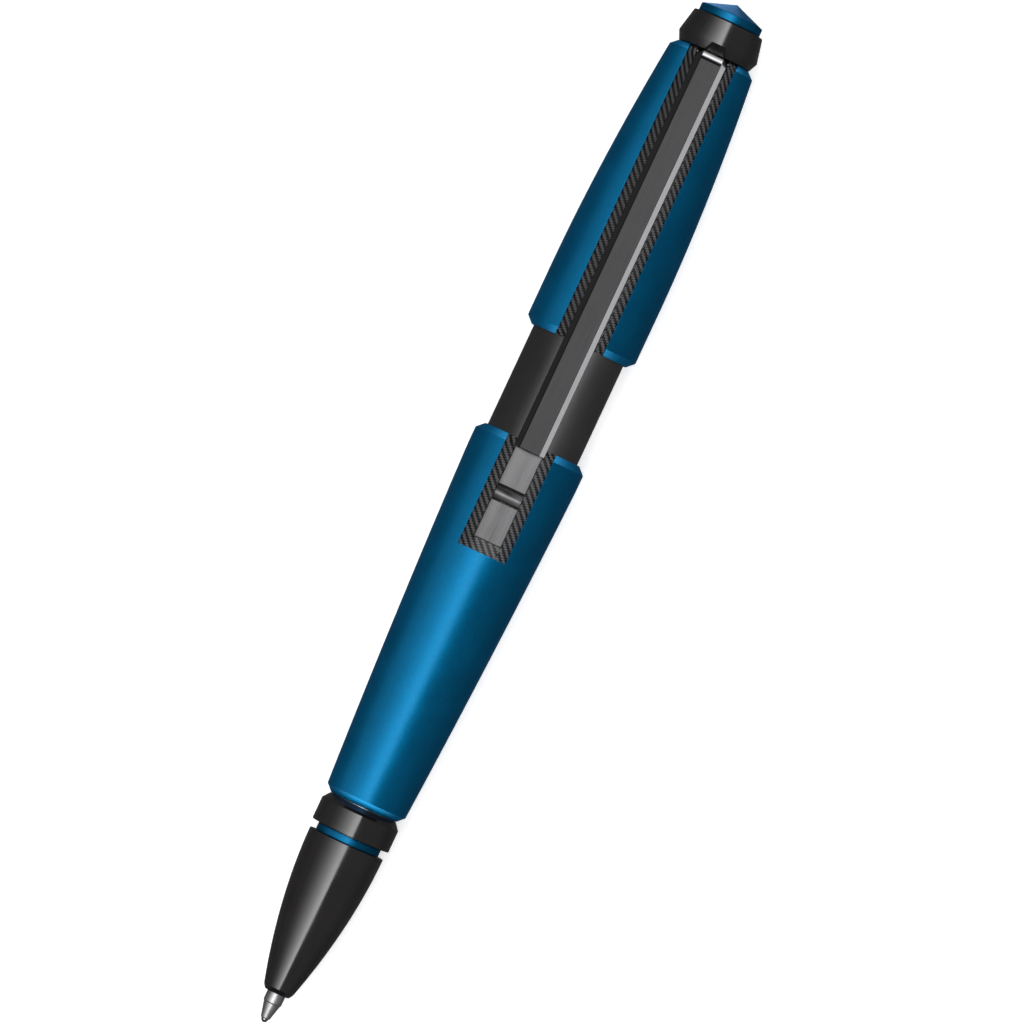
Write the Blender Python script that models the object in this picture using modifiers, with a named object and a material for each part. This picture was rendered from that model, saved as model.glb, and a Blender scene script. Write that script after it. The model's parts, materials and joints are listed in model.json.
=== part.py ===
"""Slide-open rollerball pen, drawn open with its point out.

The pen is drawn standing on its ball: Z is its axis, with heights counted up from the ball's
lowest point, and the clip stands on the +X side. All sizes are in millimetres. The empty
"pen_axis" then lays it on a desk: the crown points to world +X and the clip to world +Z.

Pulling the upper half away from the lower one pushes the point out. A rack that hangs from the
upper half turns a compound pinion in the slide tube, and the pinion's small gear drives the
refill's own rack the other way.
"""

from math import acos, cos, pi, sin, tan

import bmesh
import bpy
from mathutils import Matrix

MM = 0.001

# whole pen
LENGTH = 137.0           # open, from the ball to the crown's point
TRAVEL = 13.2            # how far the halves slide together
SEGMENTS = 36            # facets round the large turned pieces
FINE_SEGMENTS = 24       # facets round the refill and the sleeves
SMALL_SEGMENTS = 16      # facets round the point
FIT = 0.05               # radial gap of pieces that are fixed in each other
RUN = 0.1                # radial gap of pieces that slide in each other

# slide tube and the stop that ends the opening stroke
TUBE_R = 6.04
TUBE_BORE_R = 5.3
TUBE_BOTTOM = 57.0
TUBE_TOP = 98.0
STOP_R = 6.28
STOP_Z = (94.2, 95.6)
RING_GROOVE_R = 5.72
RING_GROOVE_Z = (96.2, 97.0)

# widest radius of both halves, and the slot that both have under the clip
BARREL_R = 7.27
SLOT_HALF_WIDTH = 3.19
SLOT_CUT_X = (3.0, 9.0)  # from inside the bore to beyond the barrel
MOUTH_R = 6.35           # radius of both halves at the bevelled ends that face each other
SHELL_WALL = 0.4
MOUTH_WALL = 0.07        # what is left of that wall at those ends

# lower half
LOWER_BOTTOM = 29.02
LOWER_BOTTOM_R = 4.4
LOWER_EDGE = 29.85
LOWER_EDGE_R = 5.25
LOWER_LAND = 74.8        # from here up the lower half is a plain cylinder
LOWER_BEVEL = 76.94
LOWER_TOP = 77.79
LOWER_BULGE = 0.35       # how far its taper bows outwards
NOTCH_BOTTOM = 63.14
LOWER_LINER_BOTTOM = 62.04
LOWER_BORE_R = 4.6
INSERT_SEAT_R = 3.95
INSERT_TOP = 40.0
GUIDE_Z = (60.0, 63.0)   # the ring that keeps the refill central

# upper half
UPPER_BOTTOM = 91.12
UPPER_BEVEL = 92.06
UPPER_LAND = 99.0        # above this the upper half narrows
UPPER_EDGE = 129.36
UPPER_EDGE_R = 5.56
UPPER_TOP = 130.1
UPPER_TOP_R = 4.77
UPPER_POWER = 1.85       # how late it narrows
LINER_EDGE = 129.2
LINER_TOP = 129.95
LINER_TOP_R = 4.5
LINER_WALL = 0.45
STOP_BORE_R = 6.38       # room for the tube's stop, above the liner's flange
STOP_BORE_TOP = 109.3
STOP_FLANGE_TOP = 94.05
LINER_BORE_BOTTOM = 112.0
TOP_LIP = 0.3            # wall of the shell's top rim

# detent plate in the notch
PLATE_HALF_WIDTH = 1.78
PLATE_Z = (64.78, 76.9)
PLATE_X = (6.15, 7.02)
GROOVE_Z = 70.79
GROOVE_HALF_WIDTH = 1.05
GROOVE_DEPTH = 0.45

# clip
CLIP_HALF_WIDTH = 2.0
CLIP_UNDER = 7.4
CLIP_FACE = 8.7
CLIP_CHAMFER = 0.7
CLIP_END = 76.77
CLIP_LEG_Z = (127.9, 129.9)
CLIP_LEG_FOOT = 2.75
SHOULDER_R = 1.25
PIN_X = 3.45
PIN_Z = 128.75
PIN_R = 0.35
BRACKET_Z = (127.8, 129.35)
BRACKET_R = 4.6
BRACKET_HALF_WIDTH = 2.6
PAD_X = (7.08, 7.35)
PAD_HALF_WIDTH = 1.2
PAD_HALF_LENGTH = (0.5, 1.0)   # at its tip and at the clip
LEAF_LINE = ((5.6, 127.3), (5.72, 125.6), (6.5, 122.5), (7.1, 119.9))
LEAF_THICKNESS = 0.2
LEAF_HALF_WIDTH = 1.4

# crown
NECK_R = 2.0
COLLAR_BOTTOM = 130.18
COLLAR_BOTTOM_R = 4.7
COLLAR_EDGE = 131.4
COLLAR_EDGE_R = 5.25
COLLAR_TOP = 134.46
COLLAR_TOP_R = 4.58
CROWN_R = 4.07
CROWN_EDGE = 135.5
CROWN_POINT_R = 0.45     # small flat at the point
SCREW_R = 0.7
SCREW_HEAD_R = 1.6
SCREW_HEAD_Z = (122.6, 124.0)

# plug in the top of the upper half
PLUG_BOTTOM = 117.0
PLUG_R = 5.3
PLUG_LAND_TOP = 120.5
PLUG_SHOULDER = 127.4
PLUG_SHOULDER_R = 4.3
RACK_TOP = 120.0

# nose
NOSE_END = 3.89
NOSE_END_R = 1.6
NOSE_CORNER_R = 1.97
NOSE_CORNER = 4.46
NOSE_TOP = 24.1
NOSE_TOP_R = 4.92
NOSE_POWER = 1.9         # how round the nose's taper is
NOSE_BORE_R = 1.35
SPRING_SEAT = 8.0        # the step in the nose that the refill's spring stands on
SPRING_BORE_R = 2.3
SPRING_BORE_TOP = 14.2
SLEEVE_BORE_BOTTOM = 15.0
SLEEVE_Z = (16.0, 36.0)
ACCENT_Z = (24.15, 25.07)
ACCENT_R = 4.19
COLLAR_Z = (25.17, 28.93)
COLLAR_R = 5.13
SLEEVE_R = (3.1, 3.4)
INSERT_R = (3.5, 3.85)

# refill
BALL_R = 0.45
TIP_END = 0.5
TIP_END_R = 0.6
TIP_CONE_TOP = 2.5
TIP_CONE_R = 1.07
TIP_SHANK_R = 1.2
TIP_NECK_R = 0.8
TIP_NECK_Z = (7.5, 11.0)
BALL_SEAT_TOP = 1.2
INK_BORE_R = 0.2
HOLDER_Z = (8.6, 19.0)
HOLDER_R = (1.4, 1.5, 2.2)     # at the tip, under the shoulder and above it
HOLDER_SHOULDER = 13.5
HOLDER_BORE_R = 1.6
REFILL_R = 2.95
REFILL_BORE_R = 2.5
REFILL_BOTTOM = 15.4
REFILL_TOP = 81.0
INK_Z = (19.2, 66.0)
GREASE_Z = (66.2, 69.0)
END_PLUG_BOTTOM = 78.0
CARRIAGE_Z = (82.4, 84.0)
ARM_THICKNESS = 0.8

# compound pinion: a large gear on the drive rack, a small one on the refill's rack
MODULE = 0.35
PRESSURE_ANGLE = 25.0 * pi / 180.0
LARGE_TEETH = 20
SMALL_TEETH = 8
ADDENDUM = 0.7 * MODULE
DEDENDUM = 0.95 * MODULE
BACKLASH = 0.1
PINION_Z = 93.8
LARGE_Y = (-1.8, -0.2)
SMALL_Y = (0.1, 1.7)
PINION_NECK_R = 0.95
AXLE_R = 0.5
AXLE_GAP = 0.08          # round the axle and the clip's pin
GEAR_GAP = 0.25          # beside the gears in their frame
FRAME_Z = (89.6, 97.8)
RACK_BACK = 1.0          # thickness of a rack behind its teeth
RACK_END = 0.3           # plain length below a rack's first tooth
DRIVE_TEETH_Z = (91.5, 109.0)
CARRIAGE_TEETH_Z = (88.0, 96.4)
CARRIAGE_RACK_TOP = 96.6
BEYOND = 1.0             # how far a cutter reaches past what it cuts

BLACK = (0.018, 0.018, 0.020)
BLUE = (0.004, 0.105, 0.245)
STEEL = (0.55, 0.56, 0.58)


# ---------------------------------------------------------------- scene and looks

def clear_scene():
    for item in list(bpy.data.objects):
        bpy.data.objects.remove(item)


def make_collection(name):
    collection = bpy.data.collections.new(name)
    bpy.context.scene.collection.children.link(collection)
    return collection


def make_material(name, colour, metallic, roughness):
    material = bpy.data.materials.new(name)
    material.use_nodes = True
    shader = material.node_tree.nodes["Principled BSDF"]
    shader.inputs["Base Color"].default_value = (*colour, 1.0)
    shader.inputs["Metallic"].default_value = metallic
    shader.inputs["Roughness"].default_value = roughness
    material.diffuse_color = (*colour, 1.0)
    return material


def make_axis(name, location=(0.0, 0.0, 0.0)):
    """An empty on a moving body's joint axis, which the body's pieces hang from."""
    empty = bpy.data.objects.new(name, None)
    PARTS.objects.link(empty)
    empty.parent = PEN_AXIS
    empty.location = [value * MM for value in location]
    return empty


def add_mesh_object(name, mesh, parent):
    """Link a mesh drawn in the pen's own coordinates, hung from a body's axis or the pen's."""
    item = bpy.data.objects.new(name, mesh)
    PARTS.objects.link(item)
    item.parent = parent or PEN_AXIS
    if parent:
        item.matrix_parent_inverse = Matrix.Translation(-parent.location)
    return item


def dress(item, look):
    """Give a piece its own material from a look: colour, metallic value and roughness."""
    item.data.materials.append(make_material(item.name, *look))
    item.data.shade_smooth()
    item.data.set_sharp_from_angle(angle=0.5)
    return item


# ---------------------------------------------------------------- shapes

def turned(name, outside, look=None, bore=(), segments=SEGMENTS, parent=None):
    """A turned piece. Outside runs top to bottom and bore bottom to top, as (height, radius)."""
    points = [(height * MM, radius * MM) for height, radius in [*outside, *bore]]
    count = len(points)
    edges = [(index, index + 1) for index in range(count - 1)]
    if bore:
        edges.append((count - 1, 0))
    mesh = bpy.data.meshes.new(name)
    mesh.from_pydata([(radius, 0.0, height) for height, radius in points], edges, [])
    item = add_mesh_object(name, mesh, parent)
    item.rotation_euler.z = pi / segments
    screw = item.modifiers.new("Turn", "SCREW")
    screw.steps = segments
    screw.render_steps = segments
    screw.use_merge_vertices = True
    screw.merge_threshold = 1e-7
    if look:
        dress(item, look)
    return item


def arc(centre, radius, start, end, steps):
    """Points on an arc, both ends included, as (first, second) coordinate pairs."""
    angles = [start + (end - start) * step / steps for step in range(steps + 1)]
    return [(centre[0] + radius * cos(a), centre[1] + radius * sin(a)) for a in angles]


def extruded(name, outlines, depth, look=None, parent=None):
    """A plate with an (x, z) outline, and any holes after it, between two depths along Y."""
    curve = bpy.data.curves.new(name, "CURVE")
    curve.dimensions = "2D"
    curve.fill_mode = "BOTH"
    curve.extrude = (depth[1] - depth[0]) / 2 * MM
    for outline in outlines:
        spline = curve.splines.new("POLY")
        spline.points.add(len(outline) - 1)
        for point, (x, z) in zip(spline.points, outline):
            point.co = (x * MM, z * MM, 0.0, 1.0)
        spline.use_cyclic_u = True
    mesh = mesh_from_curve(name, curve)
    mesh.transform(Matrix.Rotation(pi / 2, 4, "X"))
    mesh.transform(Matrix.Translation((0.0, (depth[0] + depth[1]) / 2 * MM, 0.0)))
    item = add_mesh_object(name, mesh, parent)
    if look:
        dress(item, look)
    return item


def mesh_from_curve(name, curve):
    """A closed mesh from a curve, with its caps welded on."""
    curve_object = bpy.data.objects.new(name + "_curve", curve)
    PARTS.objects.link(curve_object)
    evaluated = curve_object.evaluated_get(bpy.context.evaluated_depsgraph_get())
    mesh = bpy.data.meshes.new_from_object(evaluated)
    bpy.data.objects.remove(curve_object)
    work = bmesh.new()
    work.from_mesh(mesh)
    bmesh.ops.remove_doubles(work, verts=work.verts, dist=1e-7)
    bmesh.ops.recalc_face_normals(work, faces=work.faces)
    work.to_mesh(mesh)
    work.free()
    mesh.name = name
    return mesh


def block(name, x, y, z, look=None, parent=None, turn=0.0):
    """A box between (low, high) pairs, turned about its own vertical middle line."""
    work = bmesh.new()
    bmesh.ops.create_cube(work, size=1.0)
    size = [(high - low) * MM for low, high in (x, y, z)]
    bmesh.ops.scale(work, vec=size, verts=work.verts)
    mesh = bpy.data.meshes.new(name)
    work.to_mesh(mesh)
    work.free()
    item = add_mesh_object(name, mesh, parent)
    item.location = [(low + high) / 2 * MM for low, high in (x, y, z)]
    item.rotation_euler.z = turn
    if look:
        dress(item, look)
    return item


def rod_y(name, x, z, radius, half_length, look=None, parent=None):
    """A round rod along Y through (x, z)."""
    work = bmesh.new()
    bmesh.ops.create_cone(work, cap_ends=True, segments=SMALL_SEGMENTS, radius1=radius * MM,
                          radius2=radius * MM, depth=2 * half_length * MM)
    mesh = bpy.data.meshes.new(name)
    work.to_mesh(mesh)
    work.free()
    item = add_mesh_object(name, mesh, parent)
    item.location = (x * MM, 0.0, z * MM)
    item.rotation_euler.x = pi / 2
    if look:
        dress(item, look)
    return item


def as_cutter(item):
    PARTS.objects.unlink(item)
    CUTTERS.objects.link(item)
    item.hide_render = True
    item.display_type = "WIRE"
    return item


def combine(item, other, operation="DIFFERENCE"):
    """Cut a piece with a cutter, or join a cutter-like body to it."""
    boolean = item.modifiers.new(other.name, "BOOLEAN")
    boolean.operation = operation
    boolean.solver = "EXACT"
    boolean.object = as_cutter(other)
    return item


# ---------------------------------------------------------------- outlines shared by pieces

def lower_radius(height):
    """Outer radius of the lower half between its bottom edge and its cylindrical land."""
    share = (height - LOWER_EDGE) / (LOWER_LAND - LOWER_EDGE)
    bowed = share * (1.0 + LOWER_BULGE * (1.0 - share))
    return LOWER_EDGE_R + (BARREL_R - LOWER_EDGE_R) * min(bowed, 1.0)


def upper_radius(height):
    """Outer radius of the upper half, which narrows ever faster towards the crown."""
    share = max(height - UPPER_LAND, 0.0) / (UPPER_EDGE - UPPER_LAND)
    return BARREL_R - (BARREL_R - UPPER_EDGE_R) * share ** UPPER_POWER


def nose_radius(height):
    """Outer radius of the nose, a rounded taper that ends parallel to the axis."""
    share = (NOSE_TOP - height) / (NOSE_TOP - NOSE_CORNER)
    return NOSE_TOP_R - (NOSE_TOP_R - NOSE_CORNER_R) * share ** NOSE_POWER


def heights(low, high, count):
    """Evenly spaced heights from low to high, both included."""
    return [low + (high - low) * step / count for step in range(count + 1)]


# ---------------------------------------------------------------- lower half

def make_lower_barrel():
    taper = [(h, lower_radius(h)) for h in heights(LOWER_EDGE, LOWER_LAND, 6)]
    outside = [(LOWER_BOTTOM, LOWER_BOTTOM_R), *taper, (LOWER_BEVEL, BARREL_R), (LOWER_TOP, MOUTH_R)]
    bore = [
        (LOWER_BOTTOM, INSERT_SEAT_R),
        (INSERT_TOP, INSERT_SEAT_R),
        (INSERT_TOP + 0.5, LOWER_BORE_R),
        (TUBE_BOTTOM - 0.1, LOWER_BORE_R),
        (TUBE_BOTTOM - 0.1, TUBE_R + FIT),
        (LOWER_LINER_BOTTOM, TUBE_R + FIT),
        (LOWER_LINER_BOTTOM, lower_radius(LOWER_LINER_BOTTOM) - SHELL_WALL),
        (LOWER_BEVEL, BARREL_R - SHELL_WALL),
        (LOWER_TOP, MOUTH_R - MOUTH_WALL),
    ]
    barrel = turned("lower_barrel", outside[::-1], (BLUE, 0.9, 0.3), bore)
    half = SLOT_HALF_WIDTH
    notch = block("notch_cutter", SLOT_CUT_X, (-half, half), (NOTCH_BOTTOM, LOWER_TOP + BEYOND))
    combine(barrel, notch)


def make_lower_liner():
    bottom = LOWER_LINER_BOTTOM + FIT
    outside = [
        (LOWER_TOP - FIT, MOUTH_R - MOUTH_WALL - FIT),
        (LOWER_BEVEL - FIT, BARREL_R - SHELL_WALL - FIT),
        (bottom, lower_radius(bottom) - SHELL_WALL - FIT),
    ]
    bore = [(bottom, TUBE_R + FIT), (LOWER_TOP - FIT, TUBE_R + FIT)]
    liner = turned("lower_liner", outside, (BLACK, 0.0, 0.4), bore)
    half = PLATE_HALF_WIDTH + FIT
    pocket = block("plate_pocket", SLOT_CUT_X, (-half, half), (PLATE_Z[0] - FIT, LOWER_TOP))
    combine(liner, pocket)


def make_detent_plate():
    """A satin plate with a round groove across it, drawn as a side outline and pulled along Y."""
    radius = (GROOVE_HALF_WIDTH ** 2 + GROOVE_DEPTH ** 2) / (2 * GROOVE_DEPTH)
    half_angle = acos((radius - GROOVE_DEPTH) / radius)
    centre = (PLATE_X[1] + radius - GROOVE_DEPTH, GROOVE_Z)
    groove = arc(centre, radius, pi + half_angle, pi - half_angle, 8)
    low, high = PLATE_Z
    outline = [(PLATE_X[0], low), (PLATE_X[1], low), *groove, (PLATE_X[1], high), (PLATE_X[0], high)]
    extruded("detent_plate", [outline], (-PLATE_HALF_WIDTH, PLATE_HALF_WIDTH), (STEEL, 1.0, 0.35))


def make_slide_tube():
    outside = [
        (TUBE_TOP, TUBE_R),
        (RING_GROOVE_Z[1], TUBE_R),
        (RING_GROOVE_Z[1], RING_GROOVE_R),
        (RING_GROOVE_Z[0], RING_GROOVE_R),
        (RING_GROOVE_Z[0], TUBE_R),
        (STOP_Z[1], TUBE_R),
        (STOP_Z[1], STOP_R),
        (STOP_Z[0], STOP_R),
        (STOP_Z[0], TUBE_R),
        (TUBE_BOTTOM, TUBE_R),
    ]
    bore = [(TUBE_BOTTOM, TUBE_BORE_R), (TUBE_TOP, TUBE_BORE_R)]
    turned("slide_tube", outside, (BLACK, 0.0, 0.3), bore)


def make_friction_ring():
    """A rubber ring in the tube's groove, with a round outer face."""
    low, high = RING_GROOVE_Z[0] + FIT, RING_GROOVE_Z[1] - FIT
    half = (high - low) / 2
    centre = (low + half, STOP_R - half)
    outside = arc(centre, half, 0.0, pi, 4)
    bore = [(low, RING_GROOVE_R + FIT), (high, RING_GROOVE_R + FIT)]
    turned("friction_ring", outside, (BLACK, 0.0, 0.8), bore)


def make_barrel_collar():
    low, high = COLLAR_Z
    outside = [(high, LOWER_BOTTOM_R), (high - 0.89, COLLAR_R), (low + 0.1, COLLAR_R), (low, COLLAR_R - 0.1)]
    bore = [(low, INSERT_R[1] + FIT), (high, INSERT_R[1] + FIT)]
    turned("barrel_collar", outside, (BLACK, 0.0, 0.2), bore)


def make_thread_insert():
    low, high = COLLAR_Z[0] + 0.1, INSERT_TOP - 0.1
    outside = [(high, INSERT_R[1]), (low, INSERT_R[1])]
    bore = [(low, INSERT_R[0]), (high, INSERT_R[0])]
    turned("thread_insert", outside, (STEEL, 1.0, 0.4), bore, FINE_SEGMENTS)


def make_refill_guide():
    outer = TUBE_BORE_R - RUN
    low, high = GUIDE_Z
    outside = [(high, outer), (low, outer)]
    bore = [(low, REFILL_R + RUN), (high, REFILL_R + RUN)]
    turned("refill_guide", outside, (BLACK, 0.0, 0.5), bore)


def make_gear_frame():
    """A round block with a channel for the gears and racks, and a hole for the axle."""
    outer = TUBE_BORE_R - RUN
    low, high = FRAME_Z
    outline = [(high, 0.0), (high, outer), (low, outer), (low, 0.0)]
    frame = turned("gear_frame", outline, (BLACK, 0.0, 0.5))
    web = MODULE * LARGE_TEETH / 2 + ADDENDUM + GEAR_GAP
    channel = block("channel_cutter", (-outer - BEYOND, web), (LARGE_Y[0] - GEAR_GAP, SMALL_Y[1] + GEAR_GAP),
                    (low - BEYOND, high + BEYOND))
    combine(frame, channel)
    combine(frame, rod_y("axle_hole_cutter", 0.0, PINION_Z, AXLE_R + FIT, outer + BEYOND))
    rod_y("pinion_axle", 0.0, PINION_Z, AXLE_R, outer - 0.35, (STEEL, 1.0, 0.3))


# ---------------------------------------------------------------- gears and racks

def involute(angle):
    return tan(angle) - angle


def gear_outline(teeth):
    """Stub involute teeth round the pinion's axis, with one centred on +X, as (x, z) points."""
    pitch_r = MODULE * teeth / 2
    base_r = pitch_r * cos(PRESSURE_ANGLE)
    root_r = pitch_r - DEDENDUM
    tip_r = pitch_r + ADDENDUM
    half_pitch_tooth = (pi * MODULE / 2 - BACKLASH / 2) / 2 / pitch_r

    def half_angle(radius):
        here = acos(min(base_r / radius, 1.0))
        return half_pitch_tooth + involute(PRESSURE_ANGLE) - involute(here)

    flank = [root_r, max(root_r, base_r) + 0.03, pitch_r, tip_r]
    points = []
    for tooth in range(teeth):
        middle = 2 * pi * tooth / teeth
        rising = [(radius, middle - half_angle(radius)) for radius in flank]
        falling = [(radius, middle + half_angle(radius)) for radius in flank[::-1]]
        points += [(radius * cos(a), PINION_Z + radius * sin(a)) for radius, a in rising + falling]
    return points


def rack_outline(pitch_x, side, toothed, end):
    """A rack's (x, z) outline. Side is +1 where the gear lies on its -X side, or else -1."""
    pitch = pi * MODULE
    slope = tan(PRESSURE_ANGLE)
    half = (pitch / 2 - BACKLASH / 2) / 2
    tip, root = half - ADDENDUM * slope, half + DEDENDUM * slope
    first = int((toothed[0] - PINION_Z) / pitch) - 1
    last = int((toothed[1] - PINION_Z) / pitch)
    edge = []
    for index in range(first, last):
        middle = PINION_Z + (index + 0.5) * pitch
        profile = [(DEDENDUM, -root), (-ADDENDUM, -tip), (-ADDENDUM, tip), (DEDENDUM, root)]
        edge += [(pitch_x + side * depth, middle + offset) for depth, offset in profile]
    root_x = pitch_x + side * DEDENDUM
    back_x = root_x + side * RACK_BACK
    start = edge[0][1] - RACK_END
    return [*edge, (root_x, end), (back_x, end), (back_x, start), (root_x, start)]


def make_compound_pinion(body):
    """Both gears as one piece, with a round neck between them and a bore for the axle."""
    pinion = extruded("compound_pinion", [gear_outline(LARGE_TEETH)], LARGE_Y, (STEEL, 1.0, 0.4), body)
    neck = rod_y("pinion_neck", 0.0, PINION_Z, PINION_NECK_R, SMALL_Y[1] / 2)
    small = extruded("small_gear", [gear_outline(SMALL_TEETH)], SMALL_Y)
    combine(pinion, neck, "UNION")
    combine(pinion, small, "UNION")
    combine(pinion, rod_y("pinion_bore_cutter", 0.0, PINION_Z, AXLE_R + AXLE_GAP, SMALL_Y[1] + BEYOND))


def make_drive_rack(body):
    outline = rack_outline(-MODULE * LARGE_TEETH / 2, -1, DRIVE_TEETH_Z, RACK_TOP)
    extruded("drive_rack", [outline], LARGE_Y, (STEEL, 1.0, 0.4), body)


# ---------------------------------------------------------------- upper half

def make_upper_shell(body):
    taper = [(h, upper_radius(h)) for h in heights(UPPER_LAND, UPPER_EDGE, 6)]
    outside = [(UPPER_BOTTOM, MOUTH_R), (UPPER_BEVEL, BARREL_R), *taper, (UPPER_TOP, UPPER_TOP_R)]
    inside = [(h, upper_radius(h) - SHELL_WALL) for h in heights(UPPER_LAND, UPPER_EDGE, 6)]
    bore = [
        (UPPER_BOTTOM, MOUTH_R - MOUTH_WALL),
        (UPPER_BEVEL, BARREL_R - SHELL_WALL),
        *inside[:-1],
        (LINER_EDGE + FIT, upper_radius(LINER_EDGE) - SHELL_WALL),
        (UPPER_TOP, UPPER_TOP_R - TOP_LIP),
    ]
    shell = turned("upper_shell", outside[::-1], (BLUE, 0.9, 0.3), bore, parent=body)
    half = SLOT_HALF_WIDTH
    reach = (UPPER_BOTTOM - BEYOND, UPPER_TOP + BEYOND)
    slot = block("slot_cutter", SLOT_CUT_X, (-half, half), reach)
    combine(shell, slot)


def make_upper_liner(body):
    """The patterned sleeve, whose flange at the mouth meets the tube's stop when pulled open."""
    bottom = UPPER_BOTTOM + FIT
    skin = SHELL_WALL + FIT
    outside = [
        (bottom, MOUTH_R - MOUTH_WALL - FIT),
        (UPPER_BEVEL + FIT, BARREL_R - skin),
        *[(h, upper_radius(h) - skin) for h in heights(UPPER_LAND, LINER_EDGE, 6)],
        (LINER_TOP, LINER_TOP_R),
    ]
    inside = [(h, upper_radius(h) - skin - LINER_WALL) for h in heights(LINER_BORE_BOTTOM, LINER_EDGE, 4)]
    bore = [
        (bottom, TUBE_R + RUN),
        (STOP_FLANGE_TOP, TUBE_R + RUN),
        (STOP_FLANGE_TOP, STOP_BORE_R),
        (STOP_BORE_TOP, STOP_BORE_R),
        *inside,
        (LINER_TOP, LINER_TOP_R - LINER_WALL),
    ]
    liner = turned("upper_liner", outside[::-1], (BLACK, 0.0, 0.4), bore, parent=body)
    half = CLIP_HALF_WIDTH + RUN
    slot = block("leg_slot", SLOT_CUT_X, (-half, half), (CLIP_LEG_Z[0] - 0.4, LINER_TOP + BEYOND))
    combine(liner, slot)


def make_top_plug(body):
    """The plug that carries the drive rack, the clip's bracket and the crown."""
    top = COLLAR_TOP - 0.2
    seat = SCREW_HEAD_Z[1] + FIT
    outside = [
        (top, NECK_R),
        (PLUG_SHOULDER, NECK_R),
        (PLUG_SHOULDER, PLUG_SHOULDER_R),
        (PLUG_LAND_TOP, PLUG_R - FIT),
        (PLUG_BOTTOM, PLUG_R),
    ]
    bore = [
        (PLUG_BOTTOM, SCREW_HEAD_R + RUN),
        (seat, SCREW_HEAD_R + RUN),
        (seat, SCREW_R + RUN),
        (top, SCREW_R + RUN),
    ]
    plug = turned("top_plug", outside, (BLACK, 0.0, 0.5), bore, parent=body)
    back = -MODULE * LARGE_TEETH / 2 - DEDENDUM
    pocket = block("rack_pocket", (back - RACK_BACK - FIT, back + FIT),
                   (LARGE_Y[0] - FIT, LARGE_Y[1] + FIT), (PLUG_BOTTOM - BEYOND, RACK_TOP + RUN))
    combine(plug, pocket)


def make_crown(body):
    collar = [(COLLAR_TOP, COLLAR_TOP_R), (COLLAR_EDGE, COLLAR_EDGE_R), (COLLAR_BOTTOM, COLLAR_BOTTOM_R)]
    bore = [(COLLAR_BOTTOM, NECK_R + FIT), (COLLAR_TOP, NECK_R + FIT)]
    turned("crown_collar", collar, (BLACK, 0.0, 0.15), bore, parent=body)
    screw_top = CROWN_EDGE + RUN
    cone = [
        (LENGTH, 0.0),
        (LENGTH - 0.12, CROWN_POINT_R),
        (CROWN_EDGE, CROWN_R),
        (COLLAR_TOP + FIT, CROWN_R),
        (COLLAR_TOP + FIT, SCREW_R + FIT),
        (screw_top + RUN, SCREW_R + FIT),
        (screw_top + RUN, 0.0),
    ]
    turned("crown_cone", cone, (BLUE, 0.9, 0.3), parent=body)
    low, high = SCREW_HEAD_Z
    screw = [
        (screw_top, 0.0),
        (screw_top, SCREW_R),
        (high, SCREW_R),
        (high, SCREW_HEAD_R),
        (low, SCREW_HEAD_R),
        (low, 0.0),
    ]
    turned("crown_screw", screw, (STEEL, 1.0, 0.3), segments=SMALL_SEGMENTS, parent=body)


def make_clip_bracket(body):
    """The clevis under the crown that holds the clip's pin."""
    low, high = BRACKET_Z
    outline = [(high, 0.0), (high, BRACKET_R), (low, BRACKET_R), (low, 0.0)]
    bracket = turned("clip_bracket", outline, (BLACK, 0.0, 0.4), parent=body)
    gap = CLIP_HALF_WIDTH + RUN
    side = BRACKET_HALF_WIDTH
    wide = BRACKET_R + BEYOND
    through = (low - BEYOND, high + BEYOND)
    combine(bracket, block("bracket_underside", (-wide, NECK_R + FIT), (-wide, wide), through))
    combine(bracket, block("bracket_left", (0.0, wide), (-wide, -side), through))
    combine(bracket, block("bracket_right", (0.0, wide), (side, wide), through))
    combine(bracket, block("clevis_cutter", (CLIP_LEG_FOOT - 0.15, wide), (-gap, gap), through))
    combine(bracket, rod_y("bracket_hole_cutter", PIN_X, PIN_Z, PIN_R + FIT, side + BEYOND))
    rod_y("clip_pin", PIN_X, PIN_Z, PIN_R, side - FIT, (STEEL, 1.0, 0.3), body)


def make_clip_spring(body):
    """A leaf that lies on the liner and presses up against the clip."""
    outline = [*LEAF_LINE, *[(x + LEAF_THICKNESS, z) for x, z in LEAF_LINE[::-1]]]
    extruded("clip_spring", [outline], (-LEAF_HALF_WIDTH, LEAF_HALF_WIDTH), (STEEL, 1.0, 0.3), body)


# ---------------------------------------------------------------- clip

def make_clip_blade(body):
    """A straight bar whose rounded shoulder turns down into a leg on the pin."""
    leg_low, leg_high = CLIP_LEG_Z
    shoulder = arc((CLIP_FACE - SHOULDER_R, leg_high - SHOULDER_R), SHOULDER_R, 0.0, pi / 2, 8)
    outline = [
        (CLIP_UNDER, CLIP_END),
        (CLIP_FACE, CLIP_END),
        *shoulder,
        (CLIP_LEG_FOOT, leg_high),
        (CLIP_LEG_FOOT, leg_low),
        (CLIP_UNDER, leg_low),
    ]
    blade = extruded("clip_blade", [outline], (-CLIP_HALF_WIDTH, CLIP_HALF_WIDTH), (STEEL, 1.0, 0.25),
                     body)
    half = CLIP_CHAMFER / 2 ** 0.5
    for side in (-1, 1):
        middle = side * CLIP_HALF_WIDTH
        cutter = block(f"chamfer_cutter_{side}", (CLIP_FACE - half, CLIP_FACE + half),
                       (middle - half, middle + half), (CLIP_END - BEYOND, LENGTH), turn=pi / 4)
        combine(blade, cutter)
    hole = rod_y("clip_hole_cutter", PIN_X, PIN_Z, PIN_R + AXLE_GAP, CLIP_HALF_WIDTH + BEYOND)
    combine(blade, hole)


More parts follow.
